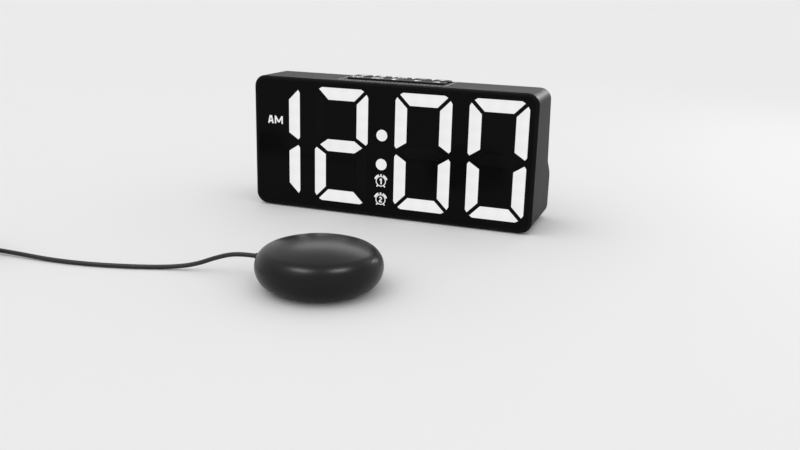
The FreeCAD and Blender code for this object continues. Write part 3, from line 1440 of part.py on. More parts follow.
def pipe(edges, radius):
    """A round tube along tangent edges."""
    path = Part.Wire(edges)
    first = path.OrderedEdges[0]
    start = first.valueAt(first.FirstParameter)
    way = first.tangentAt(first.FirstParameter)
    ring = Part.Wire([Part.makeCircle(radius, start, way)])
    return path.makePipeShell([ring], True, False)


def coil_self_gap(edges):
    """Least distance between the coil's own surfaces, measured on points of its line."""
    points = []
    marks = []
    travelled = 0.0
    for edge in edges:
        steps = max(2, int(edge.Length / (LEAD_D / 2)))
        for k in range(steps):
            points.append(edge.valueAt(edge.FirstParameter
                                       + (edge.LastParameter - edge.FirstParameter) * k / steps))
            marks.append(travelled + edge.Length * k / steps)
        travelled += edge.Length
    least = CLOCK_W
    for i in range(len(points)):
        for j in range(i + 1, len(points)):
            if marks[j] - marks[i] > LEAD_D * 4:
                least = min(least, points[i].distanceToPoint(points[j]))
    return least - LEAD_D


def lead_points():
    """From the strain relief to the coil: chosen by hand, the last two follow the coil."""
    first, way = coil_point(0.0)
    last = first - way * LEAD_D
    return [
        relief_end(),
        V(-31.5, -77.65, 11.6),
        V(-43.0, -78.6, 8.2),
        V(-55.0, -81.4, 3.2),
        V(-69.0, -85.9, 1.25),
        V(-88.0, -93.2, 1.3),
        V(-110.0, -98.6, 1.25),
        V(-132.0, -100.9, 1.35),
        V(-151.0, -100.9, 1.9),
        last - way * 15.0,
        last,
    ]


def tail_points():
    """From the coil's top layer down to the plug on the table."""
    last, way = coil_point(COIL_LAYERS * COIL_LAYER_TURNS)
    start = last + way * LEAD_D
    grip = PLUG_GRIP_R
    return [
        start,
        start + way * 9.0,
        V(start.x - 19.0, start.y - 0.2, grip + 2.4),
        V(start.x - 29.0, start.y - 1.0, grip),
        V(start.x - 38.0, start.y - 1.4, grip),
    ]


def tangent_runs(points):
    """Straight runs joined by arcs as large as the two runs allow; prints each radius."""
    edges = []
    here = points[0]
    radii = []
    for before, corner, after in zip(points[:-2], points[1:-1], points[2:]):
        back = before - corner
        on = after - corner
        shorter = min(back.Length, on.Length)
        back.normalize()
        on.normalize()
        turn = math.pi - back.getAngle(on)
        reach = 0.45 * shorter
        radius = reach / math.tan(turn / 2)
        radii.append(round(radius, 1))
        start = corner + back * reach
        end = corner + on * reach
        middle_way = (back + on).normalize()
        middle = corner + middle_way * (radius / math.cos(turn / 2) - radius)
        edges.append(Part.makeLine(here, start))
        edges.append(Part.Arc(start, middle, end).toShape())
        here = end
    edges.append(Part.makeLine(here, points[-1]))
    return edges, radii


def lead_tube(name, points):
    """A free stretch of the lead, checked against its section times its length."""
    edges, radii = tangent_runs(points)
    tube = pipe(edges, LEAD_R)
    length = sum(e.Length for e in edges)
    share = tube.Volume / (math.pi * LEAD_R ** 2 * length)
    print(name, "radii", radii, "length", round(length, 1), "volume share", round(share, 4))
    keep(name, tube)
    return length


def coil_tie():
    """Soft strap round the coil's turns, with a short tail."""
    half = TIE_W / 2
    inner = COIL_INNER_R - LEAD_R - TIE_GAP * 1.5
    outer = COIL_INNER_R + coil_layer_shift() + LEAD_R + TIE_GAP
    top = COIL_BASE + LEAD_D + COIL_PITCH * (COIL_LAYERS - 1) + TIE_GAP
    base = COIL_BASE - TIE_GAP
    hole_r = LEAD_R
    yo = COIL_Y - outer
    yi = COIL_Y - inner
    corners = [V(COIL_X - half, yo, base), V(COIL_X - half, yi, base),
               V(COIL_X - half, yi, top), V(COIL_X - half, yo, top)]
    hole = solid_of(soft_corners(corners, [hole_r] * 4), V(TIE_W, 0, 0))
    t = TIE_T
    corners = [V(COIL_X - half, yo - t, base - t), V(COIL_X - half, yi + t, base - t),
               V(COIL_X - half, yi + t, top + t), V(COIL_X - half, yo - t, top + t)]
    band = solid_of(soft_corners(corners, [hole_r + t] * 4), V(TIE_W, 0, 0)).cut(hole)
    tail = block(COIL_X - half, COIL_X + half, yo - t - TIE_TAIL / 3, yo + TIE_TAIL, top + t, top + t * 2)
    return fused([band, tail])


def plug_frame():
    """Where the plug starts and the way it points."""
    points = tail_points()
    way = (points[-1] - points[-2]).normalize()
    return points[-1], way


def shaker_plug_body():
    """Moulded grip with its own strain relief and finger rings."""
    at, way = plug_frame()
    l1 = PLUG_RELIEF_L
    l2 = PLUG_RELIEF_L + PLUG_GRIP_L
    step = PLUG_GRIP_L / 8
    groove = PLUG_GRIP_R - TIE_T / 2
    profile = [(0, 0), (PLUG_RELIEF_R, 0), (PLUG_RELIEF_R * 1.25, l1), (PLUG_GRIP_R - TIE_T, l1),
               (PLUG_GRIP_R, l1 + TIE_T), (PLUG_GRIP_R, l1 + step * 2), (groove, l1 + step * 2.3),
               (groove, l1 + step * 2.7), (PLUG_GRIP_R, l1 + step * 3), (PLUG_GRIP_R, l1 + step * 4),
               (groove, l1 + step * 4.3), (groove, l1 + step * 4.7), (PLUG_GRIP_R, l1 + step * 5),
               (PLUG_GRIP_R, l2 - TIE_T), (PLUG_GRIP_R - TIE_T, l2), (0, l2)]
    return turned(profile, at, way)


def shaker_plug_pin():
    """Metal pin: collar, sleeve, insulating neck and pointed tip."""
    at, way = plug_frame()
    at = at + way * (PLUG_RELIEF_L + PLUG_GRIP_L)
    neck = PIN_L - PIN_TIP_L
    profile = [(0, 0), (PIN_COLLAR_R, 0), (PIN_COLLAR_R, PIN_COLLAR_L), (PIN_R, PIN_COLLAR_L),
               (PIN_R, neck),
               (PIN_NECK_R, neck + PIN_TIP_L * 0.2), (PIN_R, neck + PIN_TIP_L * 0.45),
               (PIN_NECK_R * 0.8, PIN_L), (0, PIN_L)]
    return turned(profile, at, way)


def make_clock():
    """Every piece of the clock."""
    keep("front_frame", front_frame())
    keep("display_lens", display_lens())
    for name, x, letters in LIT:
        keep("digit_" + name, light_guides(letters, x))
    keep("unlit_strokes", together([segment_solid(k, x, -INLAY_GAP, deep(0), deep(FRAME_PLATE))
                                    for x, letters in UNLIT for k in letters]))
    dots, _, _ = signs(-INLAY_GAP, deep(0), deep(FRAME_PLATE))
    keep("colon_dots", together(dots))
    _, icons, am = signs(-INLAY_GAP, deep(LENS_T), deep(FRAME_PLATE))
    keep("am_light_guide", am)
    keep("alarm_light_guides", together(icons))
    keep("light_box", light_box())
    keep("display_board", display_board())
    keep("display_lamps", display_lamps())
    keep("display_screws", display_screws())
    keep("housing", housing())
    keep("rubber_feet", rubber_feet())
    keep("case_screws", case_screws())
    make_keys()
    keep("key_board", key_board())
    keep("key_switches", key_switches())
    keep("battery_door", battery_door())
    keep("battery_tray", battery_tray())
    keep("battery_contacts", battery_contacts())
    keep("backup_batteries", backup_batteries())
    keep("main_board", main_board())
    keep("board_screws", board_screws())
    keep("board_components", board_components())
    keep("dc_socket", dc_socket())
    keep("usb_shell", usb_shell())
    keep("usb_tongue", usb_tongue())
    keep("shaker_socket", shaker_socket())
    keep("mode_switch", mode_switch())
    keep("mode_knob", mode_knob())
    keep("dimmer_wheel", dimmer_wheel())
    keep("dimmer_pot", dimmer_pot())
    keep("speaker_grille", speaker_grille())
    keep("speaker", speaker())
    keep("speaker_cone", speaker_cone())


def make_shaker():
    """Every piece of the puck."""
    keep("shaker_top_shell", shaker_top_shell())
    keep("shaker_bottom_shell", shaker_bottom_shell())
    keep("shaker_foot_pad", shaker_foot_pad())
    keep("shaker_screws", shaker_screws())
    keep("motor_case", motor_case())
    keep("motor_shaft", motor_shaft())
    keep("eccentric_weight", eccentric_weight())
    keep("motor_strap", motor_strap())
    keep("strap_screws", strap_screws())
    keep("lead_relief", lead_relief())


def make_lead():
    """The lead, its coil, the tie and the plug."""
    out = lead_tube("shaker_lead", lead_points())
    edges = coil_edges()
    coil = pipe(edges, LEAD_R)
    length = sum(e.Length for e in edges)
    print("coil length", round(length, 1), "gap to itself", round(coil_self_gap(edges), 2),
          "volume share", round(coil.Volume / (math.pi * LEAD_R ** 2 * length), 4))
    keep("shaker_lead_coil", coil)
    tail = lead_tube("shaker_lead_tail", tail_points())
    print("whole lead", round(out + length + tail, 1))
    keep("coil_tie", coil_tie())
    keep("shaker_plug_body", shaker_plug_body())
    keep("shaker_plug_pin", shaker_plug_pin())


os.makedirs(OUT, exist_ok=True)
make_clock()
make_shaker()
make_lead()
print("front face at", FRONT_Y, "puck centre", PUCK_X, PUCK_Y, "socket height", SOCKET_Z)
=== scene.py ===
# %% [markdown]
# # Bed shaker alarm clock
# A slim bedside clock with very large white figures, and the round vibrating puck that lies
# under the pillow, on its thin lead. This lesson dresses the working model in real surfaces.
#
# The working model comes first, because it says where everything is. Its box is kept.

import json
import math

import bmesh
import bpy
import numpy as np
from mathutils import Matrix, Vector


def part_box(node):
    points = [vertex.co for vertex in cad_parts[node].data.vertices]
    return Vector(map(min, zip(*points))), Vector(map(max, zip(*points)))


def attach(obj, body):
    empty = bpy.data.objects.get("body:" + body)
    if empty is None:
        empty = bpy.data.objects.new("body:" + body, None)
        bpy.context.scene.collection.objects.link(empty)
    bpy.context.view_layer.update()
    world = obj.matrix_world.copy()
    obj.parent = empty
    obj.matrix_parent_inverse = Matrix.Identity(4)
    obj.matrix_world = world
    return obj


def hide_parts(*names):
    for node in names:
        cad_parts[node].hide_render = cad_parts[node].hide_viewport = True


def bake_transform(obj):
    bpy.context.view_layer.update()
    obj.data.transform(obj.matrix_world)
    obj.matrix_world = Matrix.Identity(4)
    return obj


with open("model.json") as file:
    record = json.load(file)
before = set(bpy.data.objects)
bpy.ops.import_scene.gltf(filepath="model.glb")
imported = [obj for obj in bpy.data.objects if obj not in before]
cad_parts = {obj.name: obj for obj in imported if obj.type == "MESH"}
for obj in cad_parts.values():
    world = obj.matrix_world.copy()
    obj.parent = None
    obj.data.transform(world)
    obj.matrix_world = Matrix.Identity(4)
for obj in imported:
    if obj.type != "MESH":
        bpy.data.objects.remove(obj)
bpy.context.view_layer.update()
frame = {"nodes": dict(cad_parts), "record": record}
MM = 0.001

# %% [markdown]
# ## Camera
# The clock is seen from a little above and from its right, so that the front, the top and the
# right side all show. The numbers come from fitting the outline of the face and its figures:
# two angles, a slight roll, the place of the eye and the focal length in pixels. A camera could
# be turned by angles, but its matrix is plainer: its columns are right, up and backwards.

# %% The camera
PICTURE_WIDTH = 800
FOCAL_PIXELS = 860
AZIMUTH = math.radians(19.563)
ELEVATION = math.radians(15.921)
ROLL = math.radians(1.525)
EYE = np.array([189.03, -448.22, 149.73]) * MM


def unit(vectors):
    """Each vector divided by its length."""
    vectors = np.asarray(vectors, dtype=float)
    return vectors / np.linalg.norm(vectors, axis=-1, keepdims=True)


def camera_axes():
    """Right, up and back: back points from the object to the eye, right is level before the roll."""
    back = np.array([math.sin(AZIMUTH) * math.cos(ELEVATION), -math.cos(AZIMUTH) * math.cos(ELEVATION),
                     math.sin(ELEVATION)])
    level = unit(np.cross(-back, (0, 0, 1)))
    rise = np.cross(level, -back)
    right = math.cos(ROLL) * level + math.sin(ROLL) * rise
    up = -math.sin(ROLL) * level + math.cos(ROLL) * rise
    return right, up, back


def pose(axes, place):
    """The matrix whose columns are these three axes and this place."""
    matrix = np.eye(4)
    matrix[:3, :3] = np.stack(axes, axis=1)
    matrix[:3, 3] = place
    return Matrix(matrix.tolist())


def in_scene(name, data):
    """A new object with this mesh, camera or lamp, linked to the scene."""
    thing = bpy.data.objects.new(name, data)
    bpy.context.scene.collection.objects.link(thing)
    return thing


lens = bpy.data.cameras.new("camera")
lens.sensor_width = 36.0
lens.lens = FOCAL_PIXELS / PICTURE_WIDTH * lens.sensor_width
lens.clip_start = 0.01
lens.clip_end = 100.0
camera = in_scene("camera", lens)
camera.matrix_world = pose(camera_axes(), EYE)
bpy.context.scene.camera = camera
bpy.context.scene.view_settings.view_transform = "Standard"
print("lens", round(lens.lens, 2), "mm")

# %% [markdown]
# ## Shader maths that reads as maths
# Every finish below is worked out by nodes. Wiring them one by one hides the idea, so a small
# class stands for a value inside a tree of nodes: adding or multiplying two of them adds the
# node that does it. A finish is then a few lines of arithmetic. Colours go through Mix nodes,
# since a Math node would turn them grey.


# %% Values and nodes
class Value:
    """A number or colour inside a tree of nodes. Python's operators on it add Math nodes."""

    def __init__(self, nodes, socket):
        self.nodes = nodes
        self.socket = socket

    def maths(self, operation, *others):
        """A Math node with this operation on these inputs."""
        return self.nodes.node("ShaderNodeMath", {"operation": operation}, dict(enumerate(others)))

    def __add__(self, other):
        return self.maths("ADD", self, other)

    def __mul__(self, other):
        return self.maths("MULTIPLY", self, other)

    def __rsub__(self, other):
        return self.maths("SUBTRACT", other, self)

    __radd__ = __add__
    __rmul__ = __mul__

    def sine(self):
        """Its sine."""
        return self.maths("SINE", self)

    def above(self, other):
        """1 where it is larger than the other, else 0."""
        return self.maths("GREATER_THAN", self, other)

    def beside(self, name):
        """Another output of the same node."""
        return Value(self.nodes, self.socket.node.outputs[name])


class Nodes:
    """A tree of nodes and the one method that adds a node to it."""

    def __init__(self, tree):
        self.tree = tree

    def put(self, socket, what):
        """Links a value to a socket, or sets a number or colour on it."""
        if isinstance(what, Value):
            self.tree.links.new(what.socket, socket)
        else:
            socket.default_value = what

    def node(self, kind, settings, values, out=0):
        """Any node: its settings first, then its inputs by name or number. Returns one output."""
        made = self.tree.nodes.new(kind)
        for word, setting in settings.items():
            setattr(made, word, setting)
        for key, what in values.items():
            self.put(made.inputs[key], what)
        return Value(self, made.outputs[out])


# %% [markdown]
# A finish is a material around Blender's Principled shader. What is the same all over goes
# straight onto the shader's sockets; noise, mixes and bumps feed what varies.


# %% Finishes
class Finish(Nodes):
    """A material around one Principled shader, whose constants are set when it is made."""

    def __init__(self, name, **constants):
        self.material = bpy.data.materials.new(name)
        self.material.use_nodes = True
        super().__init__(self.material.node_tree)
        self.shader = self.tree.nodes["Principled BSDF"]
        for word, number in constants.items():
            self.shader.inputs[word.replace("_", " ")].default_value = number
        self.place = self.node("ShaderNodeTexCoord", {}, {}, "Object")

    def noise(self, size, detail, place=None):
        """Cloudy noise from 0 to 1 whose lumps are about this many metres wide."""
        where = self.place if place is None else place
        return self.node("ShaderNodeTexNoise", {}, {"Vector": where, "Scale": 1.0 / size, "Detail": detail})

    def part_of_place(self):
        """The place's three coordinates, in metres."""
        x = self.node("ShaderNodeSeparateXYZ", {}, {"Vector": self.place}, "X")
        return x, x.beside("Y"), x.beside("Z")

    def mix(self, share, first, second):
        """From the first colour to the second; colours are this node's inputs 6 and 7."""
        return self.node("ShaderNodeMix", {"data_type": "RGBA"}, {0: share, 6: first, 7: second}, 2)

    def bump(self, height, metres):
        """Feeds a relief of this depth to the shader's normal."""
        self.feed("Normal", self.node("ShaderNodeBump", {}, {"Height": height, "Distance": metres}))

    def feed(self, word, what):
        """Feeds a value to the shader's socket of this name."""
        self.put(self.shader.inputs[word], what)


def grey(shade, warm=0.0):
    """A linear grey, a little warmer or cooler."""
    return (shade * (1 + warm), shade, shade * (1 - warm), 1.0)


def clouded(name, size, detail, dark, light, rough=None, relief=None, **constants):
    """One cloud between two colours; rough is the roughness in its dark parts and what its light
    parts add, and relief is the depth of its bumps in metres."""
    finish = Finish(name, **constants)
    cloud = finish.noise(size, detail)
    finish.feed("Base Color", finish.mix(cloud, dark, light))
    if rough:
        finish.feed("Roughness", rough[0] + cloud * rough[1])
    if relief:
        finish.bump(cloud, relief)
    return finish.material


# %% [markdown]
# ## Floor and world
# A product picture needs an even pale surround with soft shadows. A floor that runs to the
# horizon and a world of the same shade make one plain ground. The world lights the object as
# white, but the camera and mirrors see the ground's own shade in it, so no horizon shows.

# %% Floor and world
FLOOR_HALF = 20.0
GROUND = (0.84, 0.84, 0.84, 1.0)
WHITE = (1.0, 1.0, 1.0, 1.0)
WORLD_STRENGTH = 0.90


def plain_mesh(name, points, faces):
    """An object at the origin from an array of points and a list of faces."""
    mesh = bpy.data.meshes.new(name)
    mesh.from_pydata(points.tolist(), [], faces)
    mesh.update()
    return in_scene(name, mesh)


ground = clouded("ground", 0.5, 2.0, grey(0.835), grey(0.845), Roughness=0.75, Specular_IOR_Level=0.1)
floor_corners = FLOOR_HALF * np.array([(-1, -1, 0), (1, -1, 0), (1, 1, 0), (-1, 1, 0)])
floor = plain_mesh("floor", floor_corners, [(0, 1, 2, 3)])
floor.data.materials.append(ground)

world = bpy.data.worlds.new("studio")
bpy.context.scene.world = world
world.use_nodes = True
surround = Nodes(world.node_tree)
sky = world.node_tree.nodes["Background"]
surround.put(sky.inputs["Color"], WHITE)
surround.put(sky.inputs["Strength"], WORLD_STRENGTH)
plain_ground = surround.node("ShaderNodeBackground", {}, {"Color": GROUND, "Strength": 1.0})
camera_ray = surround.node("ShaderNodeLightPath", {}, {}, "Is Camera Ray")
seen = camera_ray.maths("MAXIMUM", camera_ray, camera_ray.beside("Is Glossy Ray"))
sky_light = Value(surround, sky.outputs[0])
chosen = surround.node("ShaderNodeMixShader", {}, {0: seen, 1: sky_light, 2: plain_ground})
surround.put(world.node_tree.nodes["World Output"].inputs["Surface"], chosen)
print("floor half", FLOOR_HALF, "m, world strength", WORLD_STRENGTH)

# %% [markdown]
# ## Lamps
# The world gives nearly all of the light, and a wide soft sun gives the faint shadows their
# side. The boxes only give highlights: two overhead stand where the puck's shoulder mirrors them
# to the eye, as its two soft spots, a low one behind lights its crown and another the clock's
# upper corner. Diffuse rays don't see them, so they leave no pool of light on the ground. Their
# upright leans back a little, so that a lamp straight above its target would still have a side.

# %% Lamps
SUN_STRENGTH = 0.35
SUN_SPREAD = math.radians(50)
SUN_TILT = (math.radians(28), math.radians(-22), 0)
PUCK_MIDDLE = (0.015, -0.08, 0.02)
CLOCK_CORNER = (0.09, 0.08, 0.08)
LAMP_UP = (0.0, 0.3, 1.0)
BOXES = (
    ("left_box", (-0.208, -0.421, 0.830), PUCK_MIDDLE, 0.34, 0.20, 4.0),
    ("right_box", (0.452, -0.120, 0.816), PUCK_MIDDLE, 0.28, 0.18, 4.2),
    ("back_box", (-0.20, 0.80, 0.52), PUCK_MIDDLE, 0.7, 0.10, 1.2),
    ("corner_box", (0.34, 0.90, 0.37), CLOCK_CORNER, 0.24, 0.24, 3.4),
)


def soft_lamp(name, place, target, width, depth, watts):
    """A rectangular lamp at a place, turned to shine at a target, that only highlights see."""
    light = bpy.data.lights.new(name, "AREA")
    light.shape = "RECTANGLE"
    light.size = width
    light.size_y = depth
    light.energy = watts
    lamp = in_scene(name, light)
    away = unit(np.subtract(place, target))
    side = unit(np.cross(LAMP_UP, away))
    lamp.matrix_world = pose([side, np.cross(away, side), away], place)
    lamp.visible_diffuse = False


sun = bpy.data.lights.new("window_light", "SUN")
sun.energy = SUN_STRENGTH
sun.angle = SUN_SPREAD
in_scene("window_light", sun).rotation_euler = SUN_TILT
for box in BOXES:
    soft_lamp(*box)

# %% [markdown]
# ## Moulded plastics
# The housing, the frame, the keys and the puck are all moulded, but their tools were finished
# differently: spark-eroded for the housing, polished for the face. What tells them apart is the
# size and depth of the grain and the gloss, so one function with those as arguments makes all
# of them. A slow cloud in the shade and the gloss keeps large faces from looking computed.

# %% Moulded plastics
CLOUD_SIZE = 0.03


def moulded(name, shade, gloss, grain=0.0003, depth=0.00001, specular=0.5, cool=0.0):
    """Fine grain in the relief, a slow cloud in the shade and the roughness."""
    finish = Finish(name, Specular_IOR_Level=specular)
    cloud = finish.noise(CLOUD_SIZE, 3.0)
    fine = finish.noise(grain, 3.0)
    both = cloud * 0.6 + fine * 0.4
    finish.feed("Base Color", finish.mix(both, grey(shade * 0.90, -cool), grey(shade * 1.10, -cool)))
    finish.feed("Roughness", gloss - 0.06 + cloud * 0.05 + fine * 0.08)
    finish.bump(fine, depth)
    return finish.material


housing_plastic = moulded("housing_plastic", 0.009, 0.46, 0.0004, 0.00002, 0.058, 0.02)
frame_plastic = moulded("frame_plastic", 0.0038, 0.42, 0.0003, 0.000008, 0.07)
key_plastic = moulded("key_plastic", 0.009, 0.46, 0.0003, 0.000012, 0.058, 0.02)
puck_plastic = moulded("puck_plastic", 0.008, 0.29, 0.00035, 0.000006, 0.17, 0.02)
knob_plastic = moulded("knob_plastic", 0.02, 0.42)
switch_plastic = moulded("switch_plastic", 0.018, 0.45)
socket_plastic = moulded("socket_plastic", 0.014, 0.4)
tongue_plastic = moulded("tongue_plastic", 0.72, 0.4, depth=0.000006)
reflector_plastic = moulded("reflector_plastic", 0.8, 0.6, depth=0.000006)
print("moulded finishes:", len(bpy.data.materials))

# %% [markdown]
# ## The face and its light
# The face is a polished black sheet. In the picture it shows no reflection at all, so its
# mirror strength is low and only its smoothness says that it is glossy. The strokes are light
# guides: white plastic that glows evenly, a trace brighter over each lamp behind it. Unlit, they
# are dark smoked plastic that melts into the face. Several of these finishes need only one
# cloud of noise that moves the shade, the roughness and the relief together.

# %% Face film, light guides and lamps
LAMP_STEP = 9.5 * MM
GLOW_LOW = (0.80, 0.80, 0.80, 1.0)
GLOW_HIGH = (0.845, 0.845, 0.845, 1.0)


def glowing(name):
    """White light guide whose glow ripples with a sine along X and one along Z, a lamp a wave."""
    finish = Finish(name, Roughness=0.35, Specular_IOR_Level=0.1, Emission_Strength=1.0)
    x, _, z = finish.part_of_place()
    turn = 2 * math.pi / LAMP_STEP
    ripple = ((x * turn).sine() + (z * turn).sine()) * 0.25 + 0.5
    finish.feed("Base Color", finish.mix(ripple, grey(0.02), grey(0.025)))
    finish.feed("Emission Color", finish.mix(ripple, GLOW_LOW, GLOW_HIGH))
    return finish.material


FACE_SHINE = 0.035
RESIN_DARK = (0.75, 0.62, 0.20, 1.0)
RESIN_LIGHT = (0.85, 0.78, 0.42, 1.0)
face_black = clouded("face_film", 0.012, 4.0, grey(0.0036), grey(0.0044), (0.08, 0.05),
                     Specular_IOR_Level=FACE_SHINE)
unlit_guide = clouded("smoked_guide", 0.006, 2.0, grey(0.0044), grey(0.0056), (0.12, 0.06),
                      Specular_IOR_Level=FACE_SHINE)
lit_guide = glowing("lit_guide")
lamp_yellow = clouded("lamp_resin", 0.0012, 3.0, RESIN_DARK, RESIN_LIGHT, relief=0.00003, Roughness=0.25)
print("face, lit guide, unlit guide and lamp resin")

# %% [markdown]
# ## Metals
# Plated steel is told by fine drawing lines along one axis, so its noise is stretched by a
# Mapping node. A slower cloud of patina keeps the plating from looking like a mirror. Screws,
# springs, cans and the jack pin differ only in shade, gloss and the way they were drawn.


# %% Metals
def plated(name, shade, gloss, stretch, warm=0.0):
    """Metal with fine lines along the axis in which the noise is stretched most."""
    finish = Finish(name, Metallic=1.0)
    drawn = finish.node("ShaderNodeMapping", {}, {"Vector": finish.place, "Scale": stretch})
    lines = finish.noise(0.0004, 3.0, drawn)
    patina = finish.noise(0.004, 3.0)
    both = lines * 0.5 + patina * 0.5
    finish.feed("Base Color", finish.mix(both, grey(shade * 0.82, warm), grey(shade, warm)))
    finish.feed("Roughness", gloss - 0.05 + lines * 0.12 + patina * 0.05)
    finish.bump(lines, 0.000004)
    return finish.material


screw_steel = plated("screw_steel", 0.58, 0.28, (1.0, 0.1, 1.0))
spring_steel = plated("spring_steel", 0.74, 0.25, (0.1, 1.0, 1.0), 0.02)
shell_steel = plated("shell_steel", 0.62, 0.30, (1.0, 0.08, 1.0))
basket_steel = plated("basket_steel", 0.22, 0.40, (1.0, 1.0, 1.0))
motor_steel = plated("motor_steel", 0.6, 0.30, (1.0, 0.05, 1.0))
weight_metal = plated("weight_metal", 0.42, 0.45, (1.0, 1.0, 1.0), 0.03)
pin_metal = plated("pin_metal", 0.8, 0.16, (0.1, 1.0, 1.0))

# %% [markdown]
# ## Boards, rubber, cells and paper
# A circuit board is green lacquer over copper tracks: the tracks are a lattice of straight runs,
# broken up by noise. Rubber is matt and dusty on its grain. The backup cells are plain dark cans
# with one paler band, and the speaker's cone is black paper with short fibres.

# %% Boards, rubber, cells and paper
TRACK_STEP = 2.1 * MM
TRACK_EDGE = 0.72
PATCH_EDGE = 0.52
CELL_BAND = 12 * MM
LACQUER = (0.010, 0.085, 0.032, 1.0)
LACQUER_ON_COPPER = (0.028, 0.16, 0.06, 1.0)
LACQUER_DULL = (0.008, 0.06, 0.025, 1.0)
CAN_DARK = (0.05, 0.055, 0.07, 1.0)
CAN_LIGHT = (0.07, 0.075, 0.09, 1.0)
CAN_BAND = (0.42, 0.40, 0.36, 1.0)


def circuit_board():
    """Tracks are where a wave along X or along Y and Z is near its top; noise picks which shows."""
    finish = Finish("circuit_board", Roughness=0.32)
    x, y, z = finish.part_of_place()
    track = 2 * math.pi / TRACK_STEP
    across = (x * track).sine().above(TRACK_EDGE)
    along_board = ((z + y) * track).sine().above(TRACK_EDGE)
    patch = finish.noise(0.008, 1.0).above(PATCH_EDGE)
    copper = across * patch + along_board * (1 - patch)
    cloud = finish.noise(0.002, 3.0)
    lacquer = finish.mix(copper, LACQUER, LACQUER_ON_COPPER)
    finish.feed("Base Color", finish.mix(cloud * 0.3, lacquer, LACQUER_DULL))
    finish.bump(copper, 0.00003)
    return finish.material


def rubber(name, shade):
    """Matt rubber, dusty on its fine grain."""
    finish = Finish(name, Specular_IOR_Level=0.3)
    fine = finish.noise(0.0003, 3.0)
    dust = finish.noise(0.004, 4.0)
    finish.feed("Base Color", finish.mix(dust * 0.7, grey(shade), grey(shade * 1.6, 0.02)))
    finish.feed("Roughness", 0.68 + dust * 0.2)
    finish.bump(fine, 0.00002)
    return finish.material


def cell_jacket():
    """Plain dark metal can with one paler band at the positive end and no print."""
    finish = Finish("cell_jacket", Metallic=0.6)
    x, _, _ = finish.part_of_place()
    band = x.above(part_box("backup_batteries")[1][0] - CELL_BAND)
    cloud = finish.noise(0.003, 3.0)
    finish.feed("Base Color", finish.mix(band, finish.mix(cloud, CAN_DARK, CAN_LIGHT), CAN_BAND))
    finish.feed("Roughness", 0.28 + cloud * 0.1)
    finish.bump(cloud, 0.00001)
    return finish.material


board_green = circuit_board()
foot_rubber = rubber("foot_rubber", 0.012)
cell_metal = cell_jacket()
paper_black = clouded("cone_paper", 0.0006, 6.0, grey(0.012), grey(0.03), (0.75, 0.2), 0.00005,
                      Specular_IOR_Level=0.2)
print("finishes so far:", len(bpy.data.materials))

# %% [markdown]
# ## Dressing the nodes
# A piece whose working shape is right keeps it and only gets its finish. It could be done piece
# by piece, but one table of who wears what is easier to check against the real thing.

# %% Who wears which finish
KEYS = ["key_" + str(k) for k in range(1, 6)]
WEARERS = [
    (housing_plastic, "housing battery_door"), (frame_plastic, "front_frame"),
    (key_plastic, "snooze_bar " + " ".join(KEYS)), (puck_plastic, "shaker_top_shell shaker_bottom_shell"),
    (knob_plastic, "mode_knob dimmer_wheel speaker_grille"), (tongue_plastic, "usb_tongue"),
    (switch_plastic, "key_switches battery_tray board_components mode_switch dimmer_pot"),
    (socket_plastic, "dc_socket shaker_socket"), (reflector_plastic, "light_box"),
    (face_black, "display_lens"), (unlit_guide, "unlit_strokes"), (lamp_yellow, "display_lamps"),
    (lit_guide, "digit_1 digit_2 digit_3 digit_4 colon_dots am_light_guide alarm_light_guides"),
    (board_green, "display_board key_board main_board"), (shell_steel, "usb_shell"),
    (screw_steel, "display_screws case_screws board_screws shaker_screws strap_screws motor_shaft"),
    (spring_steel, "battery_contacts motor_strap"), (basket_steel, "speaker"),
    (motor_steel, "motor_case"), (weight_metal, "eccentric_weight"), (pin_metal, "shaker_plug_pin"),
    (cell_metal, "backup_batteries"), (paper_black, "speaker_cone"),
    (foot_rubber, "rubber_feet shaker_foot_pad lead_relief coil_tie shaker_plug_body"),
    (foot_rubber, "shaker_lead shaker_lead_coil shaker_lead_tail"),
]


def dress(thing, finish):
    """The piece wears this finish in every slot."""
    if not thing.data.materials:
        thing.data.materials.append(finish)
    for k in range(len(thing.data.materials)):
        thing.data.materials[k] = finish


undressed = set(frame["nodes"])
for finish, names in WEARERS:
    for name in names.split():
        dress(frame["nodes"][name], finish)
        undressed.remove(name)
print("undressed:", sorted(undressed))

# %% [markdown]
# ## The lead
# The puck's lead is thin and limp: 2.4 mm across and 1.5 m long. It leaves the puck level,
# drops to the table, runs out of view and is put away as a coil under a tie, with the plug
# beside it. The points of its free stretch are listed, and the turns of the coil are
# worked out.

# %% The lead's way
LEAD_D = 2.4
COIL_X = -187.0
COIL_Y = -121.0
COIL_BASE = 1.0
COIL_LAYERS = 4
COIL_LAYER_TURNS = 3.5
COIL_INNER_R = 9.2
COIL_PITCH = 2.95
POINTS_A_TURN = 16
CLIMB_TURNS = 0.5
FREE_ROUTE = [(-20.6, -77.65, 11.6), (-31.5, -77.65, 11.6), (-43.0, -78.6, 8.2), (-55.0, -81.4, 3.2),
              (-69.0, -85.9, 1.25), (-88.0, -93.2, 1.3), (-110.0, -98.6, 1.25), (-132.0, -100.9, 1.35),
              (-151.0, -100.9, 1.9), (-169.6, -101.06, 2.2), (-184.6, -101.42, 2.2)]
TAIL_ROUTE = [(-189.4, -101.53, 11.05), (-198.4, -101.75, 11.05), (-208.4, -101.73, 6.1),
              (-218.4, -102.53, 3.7), (-227.4, -102.93, 3.7)]


def circle(angle):
    """The cosine and sine of each angle, as points of the unit circle."""
    return np.stack([np.cos(angle), np.sin(angle)], axis=-1)


